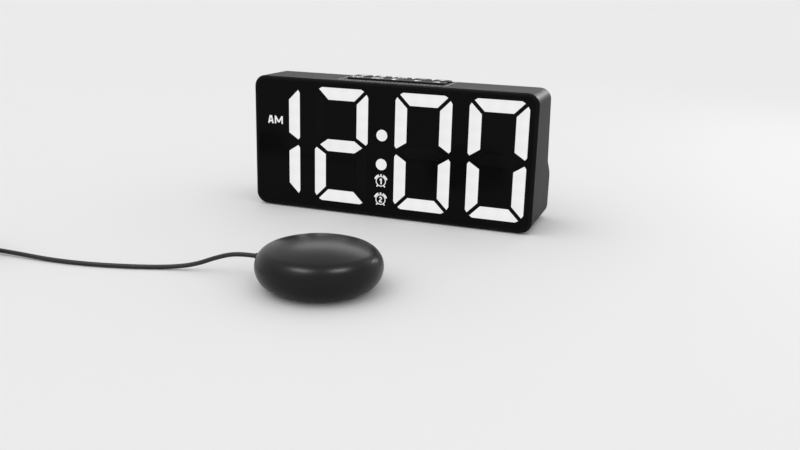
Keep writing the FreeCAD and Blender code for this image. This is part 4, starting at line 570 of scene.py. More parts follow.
def coil_route():
    """Rings that wind inwards at a steady rate, climb one layer in the half turn where they
    reverse, and wind outwards again: a place for each sixteenth of a turn."""
    count = int(COIL_LAYERS * COIL_LAYER_TURNS * POINTS_A_TURN)
    turns = np.arange(count + 1) / POINTS_A_TURN
    layer = np.minimum(turns // COIL_LAYER_TURNS, COIL_LAYERS - 1)
    into = turns - layer * COIL_LAYER_TURNS
    widest = COIL_INNER_R + COIL_PITCH * COIL_LAYER_TURNS
    radius = np.where(layer % 2 == 0, widest - COIL_PITCH * into, COIL_INNER_R + COIL_PITCH * into)
    climbs = np.arange(1, COIL_LAYERS)
    share = np.clip((turns[:, None] - climbs * COIL_LAYER_TURNS) / CLIMB_TURNS + 0.5, 0, 1)
    rise = (COIL_PITCH * share * share * (3 - 2 * share)).sum(axis=1)
    spots = radius[:, None] * circle(math.pi / 2 + 2 * math.pi * turns) + [COIL_X, COIL_Y]
    return np.column_stack([spots, COIL_BASE + LEAD_D / 2 + rise])


# %% [markdown]
# Straight runs with rounded corners would look like bent wire, so the lead's line is one smooth
# spline over all of these points.

# %% The lead's line
LINE_STEPS = 6


def smooth_line(name, route):
    """The points of one smooth open spline with these control points, in metres."""
    curve = bpy.data.curves.new(name, "CURVE")
    curve.dimensions = "3D"
    curve.resolution_u = LINE_STEPS
    spline = curve.splines.new("NURBS")
    spline.points.add(len(route) - 1)
    flat = np.concatenate([np.asarray(route) * MM, np.ones((len(route), 1))], axis=1)
    spline.points.foreach_set("co", flat.ravel())
    spline.order_u = 3
    spline.use_endpoint_u = True
    holder = bpy.data.objects.new(name, curve)
    mesh = bpy.data.meshes.new_from_object(holder)
    line = np.zeros(len(mesh.vertices) * 3)
    mesh.vertices.foreach_get("co", line)
    bpy.data.objects.remove(holder)
    bpy.data.meshes.remove(mesh)
    return line.reshape(-1, 3)


lead_line = smooth_line("lead_line", np.concatenate([FREE_ROUTE, coil_route(), TAIL_ROUTE]))
lead_length = np.linalg.norm(np.diff(lead_line, axis=0), axis=1).sum()
print("lead:", len(lead_line), "points,", round(float(lead_length), 4), "m")

# %% [markdown]
# ## Surfaces
# A new piece could be built by pushing and cutting a block. Here it is worked out instead: a
# surface is a table of points, row after row along the piece and round each row, and four
# neighbours make a face. Such a table follows the piece's own sizes, so nothing has to be moved
# by hand. Several tables give one mesh, with their ends closed by a fan round a middle point.


# %% Surfaces from tables of points
class Surfaces:
    """Collects tables of points, in millimetres, that become one mesh."""

    def __init__(self):
        self.points = []
        self.faces = []

    def keep_points(self, points):
        """Adds points and returns the number of the first one."""
        start = sum(map(len, self.points))
        self.points.append(points.reshape(-1, 3))
        return start

    def add(self, table, loop=False):
        """A tube of rings with closed ends, or a loop whose last ring joins the first. The faces
        look outwards when the rings run counter-clockwise seen against their advance."""
        rings, around = table.shape[:2]
        start = self.keep_points(table)
        i, j = np.meshgrid(np.arange(rings if loop else rings - 1), np.arange(around), indexing="ij")
        k = (j + 1) % around
        after = (i + 1) % rings
        quads = np.stack([i * around + j, i * around + k, after * around + k, after * around + j], axis=-1)
        self.faces += (quads.reshape(-1, 4) + start).tolist()
        if loop:
            return
        j = np.arange(around)
        k = (j + 1) % around
        last = start + (rings - 1) * around
        ends = [(table[0], start + k, start + j), (table[-1], last + j, last + k)]
        for ring, one, other in ends:
            middle = self.keep_points(ring.mean(axis=0))
            self.faces += np.stack([one, other, np.full(around, middle)], axis=-1).tolist()

    def piece(self, name, finish, crease):
        """The mesh: smooth, but with edges sharper than the crease angle kept sharp."""
        thing = plain_mesh(name, np.concatenate(self.points) * MM, self.faces)
        thing.data.materials.append(finish)
        soften(thing.data)
        thing.data.set_sharp_from_angle(angle=math.radians(crease))
        thing.data.update()
        return thing


def soften(mesh):
    """Smooth shading on every face."""
    mesh.polygons.foreach_set("use_smooth", np.ones(len(mesh.polygons), dtype=bool))


# %% [markdown]
# A piece that stands for a node of the working model has to move as that node does and hide it.
# A round piece along a line is a ring carried along it.
# A frame that turns with the line could twist; here each ring's side is kept level instead,
# which is enough for lines that never run upright.


# %% Standing in for a node, and rings along a line
def stand_in(thing, node, body):
    """The piece stands for a node: it moves with the body and the node is hidden."""
    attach(thing, body)
    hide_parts(node)
    print(thing.name + ":", len(thing.data.polygons), "faces")


def box_mm(node):
    """The lower and the upper corner of a node's box, in millimetres."""
    return np.array(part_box(node)) / MM


def full_turn(count):
    """This many even angles round a circle."""
    return 2 * np.pi * np.arange(count) / count


def carried(line, radius, around):
    """Rings of this radius carried along a line that never runs upright. A ring's side is level
    and its top is square to the side and the line."""
    way = unit(np.gradient(line, axis=0))
    side = unit(np.cross(way, (0.0, 0.0, 1.0)))
    top = np.cross(side, way)
    angle = full_turn(around)[:, None]
    return line[:, None] + radius * (np.cos(angle) * top[:, None] + np.sin(angle) * side[:, None])


# %% [markdown]
# The jacket is soft black plastic: matt in its grain, with a slight sheen where hands have
# polished it. The lead crosses from the clock's side of the table to the puck, and its mesh is
# fixed where it is laid.


# %% The lead's jacket
def jacket():
    """Matt cable jacket: fine grain, and a slight sheen where it has been handled."""
    finish = Finish("jacket", Specular_IOR_Level=0.35)
    fine = finish.noise(0.00025, 3.0)
    handled = finish.noise(0.02, 2.0)
    finish.feed("Base Color", finish.mix(fine * 0.5 + handled * 0.5, grey(0.010), grey(0.017)))
    finish.feed("Roughness", 0.58 - handled * 0.14)
    finish.bump(fine, 0.00001)
    return finish.material


jacket_black = jacket()
tube = Surfaces()
tube.add(carried(lead_line / MM, LEAD_D / 2, 16))
lead = tube.piece("lead", jacket_black, 60.0)
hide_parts("shaker_lead", "shaker_lead_coil", "shaker_lead_tail")
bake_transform(lead)

# %% [markdown]
# ## Turned pieces
# The puck, its pad, the sleeve on the lead and the plug are all bodies of revolution. A profile
# is a short list of (radius, height) corners; rounding it with arcs worked out from the puck's
# own radii gives the pebble. A shell's profile starts at the pole of its hollow, comes down the
# inside, crosses the rim and climbs the outside, so that one closed skin has its real wall.

# %% Turned about an upright axis
PUCK_X = 15.2
PUCK_Y = -77.65
PUCK_R = 32.3
PUCK_H = 25.0
PUCK_WAIST_Z = 11.6
SHOULDER_ROLL_R = 9.6
PUCK_WALL = 2.0
POLE_R = 0.02
print("puck:", 2 * PUCK_R, "mm across and", PUCK_H, "mm high")


def turned(profile, x, y, around):
    """Each (radius, height) of the profile becomes a ring about the upright line at x, y."""
    profile = np.asarray(profile, dtype=float)
    flat = profile[:, None, :1] * circle(full_turn(around)) + [x, y]
    height = np.broadcast_to(profile[:, 1:, None], (len(profile), around, 1))
    return np.concatenate([flat, height], axis=-1)


def arc(centre_r, centre_z, radius, start, end, steps):
    """Points on a circle in the profile's plane; angles in radians from level."""
    return radius * circle(np.linspace(start, end, steps)) + [centre_r, centre_z]


def pebble_top(inset, steps):
    """From the waist up to the pole: the shoulder's arc, then the wide crown's arc, which meet
    without a corner. The crown's radius follows from both circles touching."""
    reach = PUCK_R - SHOULDER_ROLL_R
    drop = PUCK_H - PUCK_WAIST_Z
    crown = (reach ** 2 + drop ** 2 - SHOULDER_ROLL_R ** 2) / (2 * (drop - SHOULDER_ROLL_R))
    turn = math.atan2(PUCK_WAIST_Z - (PUCK_H - crown), reach)
    shoulder = arc(reach, PUCK_WAIST_Z, SHOULDER_ROLL_R - inset, 0, turn, steps)
    dome = arc(0, PUCK_H - crown, crown - inset, turn, math.pi / 2, steps)[1:]
    dome[-1, 0] = POLE_R
    return np.concatenate([shoulder, dome])


# %% [markdown]
# The upper shell is the pebble's profile with its inner side, both turned as one closed skin. Its
# three screw bosses are small turned tubes, a third of a turn apart.

# %% The puck's upper shell
BOSS_R = 3.0
BOSS_BORE_R = 0.95
BOSS_RING_R = 21.3
BOSS_TOP = 19.8
BOSS_CLEAR = 1.5
BOSS_FOOT = PUCK_WAIST_Z + BOSS_CLEAR
BORE_END = BOSS_TOP - BOSS_CLEAR
BOSS_TURNS = (270, 30, 150)
shell = Surfaces()
shell.add(turned(np.concatenate([pebble_top(PUCK_WALL, 26)[::-1], pebble_top(0, 48)]), PUCK_X, PUCK_Y, 160))
boss = [(BOSS_BORE_R, BORE_END), (BOSS_BORE_R, BOSS_FOOT), (BOSS_R, BOSS_FOOT), (BOSS_R, BOSS_TOP)]
for spot in BOSS_RING_R * circle(np.radians(BOSS_TURNS)) + [PUCK_X, PUCK_Y]:
    shell.add(turned(boss, *spot, 32))
top_shell = shell.piece("puck_top", puck_plastic, 40.0)
stand_in(top_shell, "shaker_top_shell", "shaker")

# %% [markdown]
# A rubber pad under the puck keeps it from wandering as it shakes. Its grip is a row of fine
# rings, which are a wave in the height of its lower side. The pad has a hole, so its profile is a
# closed outline that never reaches the axis.

# %% The pad under the puck
PAD_R = 17.5
PAD_HOLE_R = 7.0
PAD_T = 2.0
PAD_EDGE = 0.4
PAD_PLAIN = 0.6
PAD_HOLE_EDGE = 0.3
GRIP_STEP = 1.2
GRIP_DEPTH = 0.32


def wave(length, step):
    """A wave from 0 to 1 and back over each step."""
    return (1 - np.cos(2 * np.pi * length / step)) / 2


def pad_profile():
    """Up the hole, out over the hidden face, down the rim, and back in over fine grip rings."""
    radii = np.linspace(PAD_R - PAD_PLAIN, PAD_HOLE_R + PAD_HOLE_EDGE, 85)
    under = np.column_stack([radii, GRIP_DEPTH * wave(radii - PAD_HOLE_R, GRIP_STEP)])
    rim = arc(PAD_R - PAD_EDGE, PAD_EDGE, PAD_EDGE, 0, -math.pi / 2, 6)
    upper = [(PAD_HOLE_R, PAD_HOLE_EDGE), (PAD_HOLE_R, PAD_T), (PAD_R, PAD_T)]
    return np.concatenate([upper, rim, under])


pad = Surfaces()
pad.add(turned(pad_profile()[::-1], PUCK_X, PUCK_Y, 96), loop=True)
foot_pad = pad.piece("puck_pad", foot_rubber, 40.0)
stand_in(foot_pad, "shaker_foot_pad", "shaker")

# %% [markdown]
# ## Sleeve and plug
# The sleeve where the lead leaves the puck and the grip of the plug are turned about the lead
# itself. Ribs let such sleeves bend: they are a wave in the radius.


# %% Turned about a level line
def along(start, way, lengths):
    """Places at these distances from a start along a level direction."""
    return np.outer(lengths, unit(way)) + start


def rod_piece(name, start, way, corners, finish, around, crease):
    """A piece turned about a level line: corners are (distance, radius). Its rings are one ring
    of spokes, moved along and scaled, so two of them may stand at the same distance."""
    corners = np.asarray(corners, dtype=float)
    spokes = carried(along(start, way, [0, 1]), 1.0, around)[0] - start
    body = Surfaces()
    body.add(along(start, way, corners[:, 0])[:, None] + corners[:, 1:, None] * spokes)
    return body.piece(name, finish, crease)


# %% [markdown]
# The sleeve keeps the lead from bending sharply where it leaves the puck. Its flange is caught
# inside the shell's wall, so a pull on the lead can't tear it out.

# %% The sleeve on the puck
RELIEF_FLANGE_T = 1.2
RELIEF_FLANGE_R = 3.4
RELIEF_SEAT = 0.9
RELIEF_INSIDE = PUCK_R - PUCK_WALL - RELIEF_FLANGE_T - RELIEF_SEAT
RELIEF_R = 2.1
RELIEF_OUT = 3.5
RELIEF_TAPER = 0.55
RELIEF_RIB = 0.14
RELIEF_RIB_STEP = 1.1
RELIEF_RIB_REACH = 4.5


def sleeve_corners():
    """Flange in the hollow, a plain neck in the wall, then a ribbed taper outside. The ribs are a
    wave whose depth fades along the taper."""
    out = np.linspace(0, RELIEF_OUT, 36)
    taper = RELIEF_R - RELIEF_TAPER * out / RELIEF_OUT
    ribs = RELIEF_RIB * wave(out, RELIEF_RIB_STEP) * (1 - out / RELIEF_RIB_REACH)
    start = PUCK_R - RELIEF_INSIDE
    inside = [(0.0, POLE_R), (0.0, RELIEF_FLANGE_R), (RELIEF_FLANGE_T, RELIEF_FLANGE_R),
              (RELIEF_FLANGE_T, RELIEF_R)]
    outside = np.column_stack([out + start, taper - ribs])
    return np.concatenate([inside, outside, [(start + RELIEF_OUT, POLE_R)]])


sleeve = rod_piece("lead_sleeve", (PUCK_X - RELIEF_INSIDE, PUCK_Y, PUCK_WAIST_Z), (-1, 0, 0),
                   sleeve_corners(), jacket_black, 36, 60.0)
stand_in(sleeve, "lead_relief", "shaker")
print("the working model's sleeve, mm:", box_mm("lead_relief").round(2).tolist())

# %% [markdown]
# The plug is a moulded grip on a jack pin. Finger rings make the grip easy to pull, and the pin's
# two thin rings keep its contacts apart. Both are again profiles turned about one level line.

# %% The plug's grip
PLUG_START = (-227.4, -102.93, 3.7)
PLUG_WAY = (-0.999014, -0.044401, 0.0)
GRIP_R = 3.7
GRIP_L = 17.0
GRIP_EDGE = 0.7
GRIP_PLAIN = 1.5
RING_SINK = 0.32
RING_STEP = 2.1
RINGS_FROM = 2.2
RINGS_TO = 12.2
FIRST_RING = 3.0
RING_SHARE = 0.2
SLEEVE_L = 9.0
SLEEVE_R = 1.9
SLEEVE_SPREAD = 0.5
SLEEVE_RIB = 0.16
SLEEVE_RIB_STEP = 1.5


def grip_corners():
    """Ribbed sleeve, rounded shoulder, a barrel with five finger rings, rounded end. The rings
    are a wave of which only the upper part cuts into the barrel."""
    first = np.linspace(0, SLEEVE_L, 60)
    sleeve_r = SLEEVE_R + SLEEVE_SPREAD * first / SLEEVE_L - SLEEVE_RIB * wave(first, SLEEVE_RIB_STEP)
    inner_r = GRIP_R - GRIP_EDGE
    last = SLEEVE_L + GRIP_L
    shoulder = arc(SLEEVE_L + GRIP_EDGE, inner_r, GRIP_EDGE, math.pi, math.pi / 2, 6)
    end = arc(last - GRIP_EDGE, inner_r, GRIP_EDGE, math.pi / 2, 0, 6)
    barrel = np.linspace(SLEEVE_L + GRIP_PLAIN, last - GRIP_PLAIN, 90)
    swing = np.cos(2 * np.pi * (barrel - SLEEVE_L - FIRST_RING) / RING_STEP)
    rings = np.clip(swing, RING_SHARE, 1) - RING_SHARE
    ringed = (barrel > SLEEVE_L + RINGS_FROM) & (barrel < SLEEVE_L + RINGS_TO)
    ringed_barrel = np.column_stack([barrel, GRIP_R - RING_SINK * rings * ringed])
    sleeve_part = np.column_stack([first, sleeve_r])
    return np.concatenate([[(0, POLE_R)], sleeve_part, shoulder, ringed_barrel, end, [(last, POLE_R)]])


# %% [markdown]
# A jack pin is one turned rod: collar, barrel, neck and tip. Its thin insulating rings are sunk a
# tenth of a millimetre into the barrel, because plastic shrinks below the metal beside it.

# %% The plug's pin
PIN_L = 14.0
PIN_R = 1.75
COLLAR_R = 2.6
GROOVE_R = 1.66


def pin_corners():
    """Collar, long barrel with two thin insulating rings sunk in it, neck and pointed tip."""
    start = SLEEVE_L + GRIP_L
    shape = [(0, POLE_R), (0, COLLAR_R), (0.8, COLLAR_R), (1.0, 2.4), (1.0, PIN_R)]
    for low, high in ((4.6, 5.4), (8.2, 9.0)):
        shape += [(low, PIN_R), (low, GROOVE_R), (high, GROOVE_R), (high, PIN_R)]
    shape += [(10.8, PIN_R), (11.4, 1.2), (12.2, 1.7), (12.8, 1.7), (13.8, 0.9), (PIN_L, 0.5),
              (PIN_L, POLE_R)]
    return [(start + length, radius) for length, radius in shape]


plug_grip = rod_piece("plug_grip", PLUG_START, PLUG_WAY, grip_corners(), jacket_black, 40, 40.0)
plug_pin = rod_piece("plug_pin", PLUG_START, PLUG_WAY, pin_corners(), pin_metal, 40, 30.0)
stand_in(plug_grip, "shaker_plug_body", "clock")
stand_in(plug_pin, "shaker_plug_pin", "clock")

# %% [markdown]
# ## The tie round the coil
# A soft strap holds the put-away turns. It could be a bent plate, but a strap pulled over a
# bundle has no corners. So it is a flat band carried round a superellipse in the upright plane
# across the coil, which is flat along its sides and round where it turns.

# %% The tie's cloth and loop
TIE_W = 4.0
TIE_T = 0.7
WEAVE_STEP = 0.0007
LOOP_STEPS = 96
LOOP_POWER = 0.42


def strap_cloth():
    """Woven black strap: two crossing waves give the weave, with worn paler ridges."""
    finish = Finish("strap_cloth", Roughness=0.85, Specular_IOR_Level=0.2)
    x, y, z = finish.part_of_place()
    step = 2 * math.pi / WEAVE_STEP
    weave = (x * step).sine() * ((y + z) * step).sine() * 0.5 + 0.5
    finish.feed("Base Color", finish.mix(weave, grey(0.010), grey(0.022)))
    finish.bump(weave, 0.00006)
    return finish.material


def strap_loop(centre, half):
    """For each angle, two places on the superellipse and two on a smaller one inside it. Its
    coordinates are the angle's cosine and sine, each to a power below one with its sign kept."""
    ring = circle(full_turn(LOOP_STEPS))
    shape = np.sign(ring) * np.abs(ring) ** LOOP_POWER
    outer, inner = shape * half, shape * (half - TIE_T)
    table = np.zeros((LOOP_STEPS, 4, 3))
    table[..., 0] = centre[0] + np.array([-TIE_W / 2, TIE_W / 2, TIE_W / 2, -TIE_W / 2])
    table[..., 1:] = centre[1:] + np.stack([outer, outer, inner, inner], axis=1)
    return table


# %% [markdown]
# The strap's loose end lies on top of the loop and curls up a little, as a stiff end does.

# %% The tie's loose end, and the finished tie
TAIL_START = 1.2
TAIL_END = 7.5
TAIL_STEPS = 12
TAIL_RISE = 0.25
TAIL_GAP = 0.02
TAIL_NARROWER = 0.15
TAIL_THINNER = 0.3


def strap_tail(side_y, top):
    """The end that lies on the loop: a thin box along Y, which rises by the square of its way."""
    reach = np.linspace(TAIL_START, TAIL_END, TAIL_STEPS)
    lift = top + TAIL_GAP + TAIL_RISE * ((reach - TAIL_START) / (TAIL_END - TAIL_START)) ** 2
    table = np.zeros((TAIL_STEPS, 4, 3))
    table[..., 0] = strap_middle[0] + np.array([-1, 1, 1, -1]) * (TIE_W / 2 - TAIL_NARROWER)
    table[..., 1] = (side_y + reach)[:, None]
    table[..., 2] = lift[:, None] + np.array([0, 0, 1, 1]) * (TIE_T - TAIL_THINNER)
    return table


low, high = box_mm("coil_tie")
loop_top = high - [0, 0, TIE_T]
strap_middle = (low + loop_top) / 2
tie = Surfaces()
tie.add(strap_loop(strap_middle, (loop_top - low)[1:] / 2)[::-1], loop=True)
tie.add(strap_tail(low[1], loop_top[2])[::-1])
coil_strap = tie.piece("coil_strap", strap_cloth(), 50.0)
stand_in(coil_strap, "coil_tie", "clock")

# %% [markdown]

# %% [markdown]
# ## Skins for the curved mouldings
# The working model's curves are made of small flats. Where a moulding's own shape is right but
# its flats would show, its skin is a copy of the same mesh with its loose triangles welded and
# with shading normals of its own. A plain average would smear the roundings over the walls,
# because walls are cut into long thin triangles. So each corner takes the normals of the faces
# round it, weighted by the area of the whole flat that each belongs to: a wall outweighs its
# rounding, stays flat to its border, and the rounding takes up all of the turn.


def body_of_node(node):
    """The moving body that this node belongs to."""
    bodies = frame["record"]["behaviour"]["bodies"]
    return next(body for body, nodes in bodies.items() if node in nodes)


# %% [markdown]
# Two triangles belong to one flat when they face the same way and lie equally far out. Adding up
# the area of each flat gives every face its weight, and all corners are then worked out at once.

# %% Even shading normals
NORMAL_STEPS = 300
OFFSET_STEPS = 5000
NEVER_ZERO = np.array([0, 0, 1e-12])


def area_of_flats(normal, area, centre):
    """For each face, the area of all faces in its plane. Faces share a plane when their normal
    and its distance from the origin round to the same steps (0.2 mm for the distance)."""
    offset = (centre * normal).sum(axis=1)
    plane = np.round(np.column_stack([normal * NORMAL_STEPS, offset * OFFSET_STEPS]))
    _, flat = np.unique(plane, axis=0, return_inverse=True)
    flat = flat.ravel()
    return np.bincount(flat, weights=area)[flat]


def faces_of(mesh, word, width):
    """One property of all faces, as an array with this many numbers a face."""
    values = np.zeros(len(mesh.polygons) * width)
    mesh.polygons.foreach_get(word, values)
    return values.reshape(-1, width)


def even_normals(mesh, crease):
    """Shading normals: at each corner, the faces round its vertex that lie within the crease of
    the corner's own face count, each by the area of its flat. All pairs are taken at once."""
    normal = faces_of(mesh, "normal", 3)
    weight = area_of_flats(normal, faces_of(mesh, "area", 1).ravel(), faces_of(mesh, "center", 3))
    at_vertex = np.zeros(len(mesh.loops), dtype=int)
    mesh.loops.foreach_get("vertex_index", at_vertex)
    face = np.repeat(np.arange(len(mesh.polygons)), 3)
    order = np.argsort(at_vertex, kind="stable")
    sorted_vertex = at_vertex[order]
    start = np.searchsorted(sorted_vertex, sorted_vertex, side="left")
    size = np.searchsorted(sorted_vertex, sorted_vertex, side="right") - start
    own = np.repeat(np.arange(len(order)), size)
    other = np.arange(len(own)) - np.repeat(np.cumsum(size) - size - start, size)
    own_face, other_face = face[order[own]], face[order[other]]
    near = (normal[own_face] * normal[other_face]).sum(axis=1) > math.cos(math.radians(crease))
    pull = normal[other_face] * (weight[other_face] * near)[:, None]
    total = np.stack([np.bincount(own, pull[:, k], len(order)) for k in range(3)], axis=1)
    corner = np.zeros_like(total)
    corner[order] = unit(total + NEVER_ZERO)
    mesh.normals_split_custom_set(corner.tolist())


# %% [markdown]
# Each skin stands for its node and takes over its body, so it moves as the node did, and its
# copied mesh keeps the node's finish. The welding distance is far below any wall, so nothing closes up.

# %% The skins
WELD = 0.000002
SKIN_CREASE = 30.0
SKINNED = ["housing", "front_frame", "shaker_bottom_shell", "battery_door", "snooze_bar", "mode_knob",
           "dimmer_wheel", "rubber_feet", "speaker_grille", "dc_socket", "shaker_socket", "usb_shell",
           "case_screws", "shaker_screws", "motor_case", "motor_strap", "eccentric_weight",
           "backup_batteries", "speaker", "speaker_cone"] + KEYS


def skin(node):
    """A welded copy of a node's mesh with even shading, which stands for it."""
    mesh = frame["nodes"][node].data.copy()
    work = bmesh.new()
    work.from_mesh(mesh)
    bmesh.ops.remove_doubles(work, verts=work.verts, dist=WELD)
    work.to_mesh(mesh)
    work.free()
    soften(mesh)
    even_normals(mesh, SKIN_CREASE)
    stand_in(in_scene(node + "_skin", mesh), node, body_of_node(node))


for node in SKINNED:
    skin(node)
print("skins:", len(SKINNED))

# %% [markdown]
# ## Printed marks and lit signs
# The face carries lit signs, and the keys white symbols inside a dashed border. All are flat
# shapes drawn in a plane from bands, bars and dots, then laid on the surface that carries them
# by one formula and given the thickness of ink. Drawn as shapes, they stay sharp at any
# distance, which a picture laid on the surface would not. They keep points and faces in the same
# way as the tables above, so their class builds on that one.


# %% Flat marks
class Marks(Surfaces):
    """Flat shapes in a plane (u to the right, v up, millimetres) that become one thin piece.
    Each shape lies a trace higher than the one before, so that no two faces share a plane."""

    LIFT = 0.0015
    STEPS = 24

    def place(self, flat):
        """Keeps a shape's points with its lift; returns the first one's number."""
        lift = np.full(len(flat), self.LIFT * (len(self.points) + 1))
        return self.keep_points(np.column_stack([flat, lift]))

    def strip(self, first, second, loop=False):
        """Quads between two rows of points, whose ends meet in a loop."""
        count = len(first)
        start = self.place(np.concatenate([first, second]))
        j = np.arange(count if loop else count - 1)
        k = (j + 1) % count
        self.faces += (np.stack([j, k, k + count, j + count], axis=-1) + start).tolist()

    def band(self, u, v, inner, outer, start=0.0, end=360.0, steps=STEPS):
        """Part of a ring between two angles in degrees."""
        loop = end - start == 360.0
        way = circle(np.radians(np.linspace(start, end, steps + 1))[:steps if loop else None])
        self.strip(outer * way + [u, v], inner * way + [u, v], loop)

    def disc(self, u, v, radius):
        """A filled circle."""
        start = self.place(radius * circle(full_turn(self.STEPS)) + [u, v])
        self.faces.append(list(range(start, start + self.STEPS)))

    def bar(self, u0, v0, u1, v1, width):
        """A straight stroke with square ends."""
        start, end = np.array([u0, v0]), np.array([u1, v1])
        way = unit(end - start)
        side = np.array([-way[1], way[0]]) * width / 2
        self.strip(np.stack([start - side, end - side]), np.stack([start + side, end + side]))

    def printed(self, name, finish, body, lay, thick):
        """Lays the marks on a surface, lay turning (u, v) into places, and gives them thickness."""
        thing = plain_mesh(name, lay(np.concatenate(self.points)) * MM, self.faces)
        thing.data.materials.append(finish)
        ink = thing.modifiers.new("ink", "SOLIDIFY")
        ink.thickness = thick * MM
        ink.offset = 1.0
        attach(thing, body)
        return thing


# %% [markdown]
# The two alarm marks are one little clock with a 1 or a 2 in its dial. So one function draws the
# clock, and it is handed the function that draws the figure.

# %% Figures and the alarm mark
ALARM_MARK_W = 9.2


def figure_one(marks, u, v, size):
    """A plain 1: stem and flag, of this height."""
    width = size * 0.24
    stem = u + size * 0.06
    marks.bar(stem, v - size / 2, stem, v + size / 2, width)
    marks.bar(stem, v + size * 0.42, u - size * 0.22, v + size * 0.20, width * 0.8)


def figure_two(marks, u, v, size):
    """A plain 2: a bow over a slanting stroke and a foot."""
    width = size * 0.20
    bow = size * 0.27
    foot = v - size / 2 + width / 2
    marks.band(u, v + size / 2 - bow, bow - width, bow, -30, 170)
    marks.bar(u + bow * 0.80, v + size / 2 - bow * 1.35, u - bow * 0.80, v - size / 2 + width, width * 0.95)
    marks.bar(u - bow, foot, u + bow, foot, width)


def alarm_sign(marks, u, v, size, figure):
    """A small alarm clock this wide: ring, two bells, knob, two feet, and a figure inside. Its
    lengths are written for a mark of the width above, and k scales them."""
    k = size / ALARM_MARK_W
    marks.band(u, v, 2.95 * k, 3.55 * k, steps=36)
    for way in (1, -1):
        bell = 90 - way * 47
        marks.band(u, v, 3.68 * k, 4.80 * k, bell - 26, bell + 26, 12)
        foot = k * circle(math.radians(-90 + way * 38))
        marks.bar(*(3.4 * foot + [u, v]), *(4.75 * foot + [u, v]), 0.8 * k)
    marks.disc(u, v + 4.25 * k, 0.6 * k)
    figure(marks, u, v, 3.9 * k)


# %% [markdown]
# The face shows the two alarm marks under the dots, and the word for the morning hours at the
# upper left. A light guide stands behind each, so they wear the same glow as the figures.

# %% Signs on the face
COLON_X = -4.40
ICON_HEIGHTS = (24.4, 12.3)
ICON_W = 9.0
SIGN_T = 0.03
AM_LEFT = -85.3
AM_BASE = 56.0
AM_HEIGHT = 5.2
AM_STROKE = 1.0
face_y = box_mm("display_lens")[0, 1]


def on_face(flat):
    """u is X, v is Z; the marks lie on the front of the face."""
    return np.column_stack([flat[:, 0], face_y - flat[:, 2], flat[:, 1]])


def letters_am(marks):
    """A: two leaning strokes under a short cap, with a bar across. M: two upright strokes, and
    two that run from their tops to one point above the foot."""
    low, high = AM_BASE, AM_BASE + AM_HEIGHT
    half = AM_STROKE / 2
    apex = AM_LEFT + 2.0
    for way in (1, -1):
        marks.bar(apex - way * 1.55, low, apex - way * 0.35, high, AM_STROKE)
    marks.bar(apex - 0.7, high - half, apex + 0.7, high - half, AM_STROKE)
    marks.bar(apex - 1.3, low + 1.6, apex + 1.3, low + 1.6, AM_STROKE * 0.9)
    first, last = AM_LEFT + 5.4, AM_LEFT + 10.3
    middle = (first + last) / 2
    for side, inward in ((first, half), (last, -half)):
        marks.bar(side, low, side, high, AM_STROKE)
        marks.bar(side + inward * 0.4, high - half, middle, low + 1.0, AM_STROKE)


face_signs = Marks()
letters_am(face_signs)
for height, figure in zip(ICON_HEIGHTS, (figure_one, figure_two)):
    alarm_sign(face_signs, COLON_X, height, ICON_W, figure)
signs = face_signs.printed("face_signs", lit_guide, "clock", on_face, SIGN_T)
print("signs on the face:", len(face_signs.faces), "faces")

# %% [markdown]
# The keys carry plain symbols in white ink: a sun, a bell, a clock, minus and plus. Such symbols
# are screen-printed after moulding, so all have one thickness. Each is a function that draws
# inside a square of a given size round a point, so one loop can lay any of them on any key.


# %% Ink and the symbols of the keys
def sun_sign(marks, u, v, size):
    """A disc and eight rays, an eighth of a turn apart."""
    marks.disc(u, v, size * 0.24)
    for turn in range(8):
        way = size * circle(turn * math.pi / 4)
        marks.bar(*(0.32 * way + [u, v]), *(0.5 * way + [u, v]), size * 0.14)


def bell_sign(marks, u, v, size):
    """A bell and its clapper. The bell's half width grows downwards by a power of the depth, and
    a square root rounds off its crown."""
    height = np.linspace(-0.28, 0.42, 13)
    half = 0.16 + 0.24 * np.clip((0.42 - height) / 0.7, 0, 1) ** 2.2
    half *= np.sqrt(np.clip((0.46 - height) / 0.14, 0, 1))
    sides = [np.column_stack([way * half, height]) * size + [u, v] for way in (1, -1)]
    marks.strip(*sides)
    marks.disc(u, v - size * 0.38, size * 0.08)


def clock_sign(marks, u, v, size):
    """A ring with two hands."""
    marks.band(u, v, size * 0.32, size * 0.47)
    marks.bar(u, v - size * 0.05, u, v + size * 0.26, size * 0.12)
    marks.bar(u - size * 0.04, v, u + size * 0.2, v - size * 0.1, size * 0.12)


def minus_sign(marks, u, v, size):
    """One level stroke."""
    marks.bar(u - size * 0.36, v, u + size * 0.36, v, size * 0.16)


def plus_sign(marks, u, v, size):
    """The minus with a stroke above and one below it."""
    minus_sign(marks, u, v, size)
    for way in (1, -1):
        marks.bar(u, v + way * size * 0.08, u, v + way * size * 0.36, size * 0.16)


white_ink = clouded("white_ink", 0.0005, 3.0, grey(0.86), grey(0.93), Roughness=0.6, Specular_IOR_Level=0.3)
BACK_SIGNS = (sun_sign, bell_sign, clock_sign, minus_sign, plus_sign)

# %% [markdown]
# On the snooze bar stand the two alarms, a crescent and two arrows. The alarms come from the
# face's own function, drawn smaller, and both arrows are one triangle that points either way.


# %% The symbols of the snooze bar
def crescent_sign(marks, u, v, size):
    """Between an arc and the same arc squeezed to 0.45 of its width and moved aside."""
    outer = circle(np.radians(np.linspace(60, 300, 25))) * size * 0.44
    inner = outer * [0.45, 1.0] + [size * 0.115, 0]
    marks.strip(outer + [u, v], inner + [u, v])


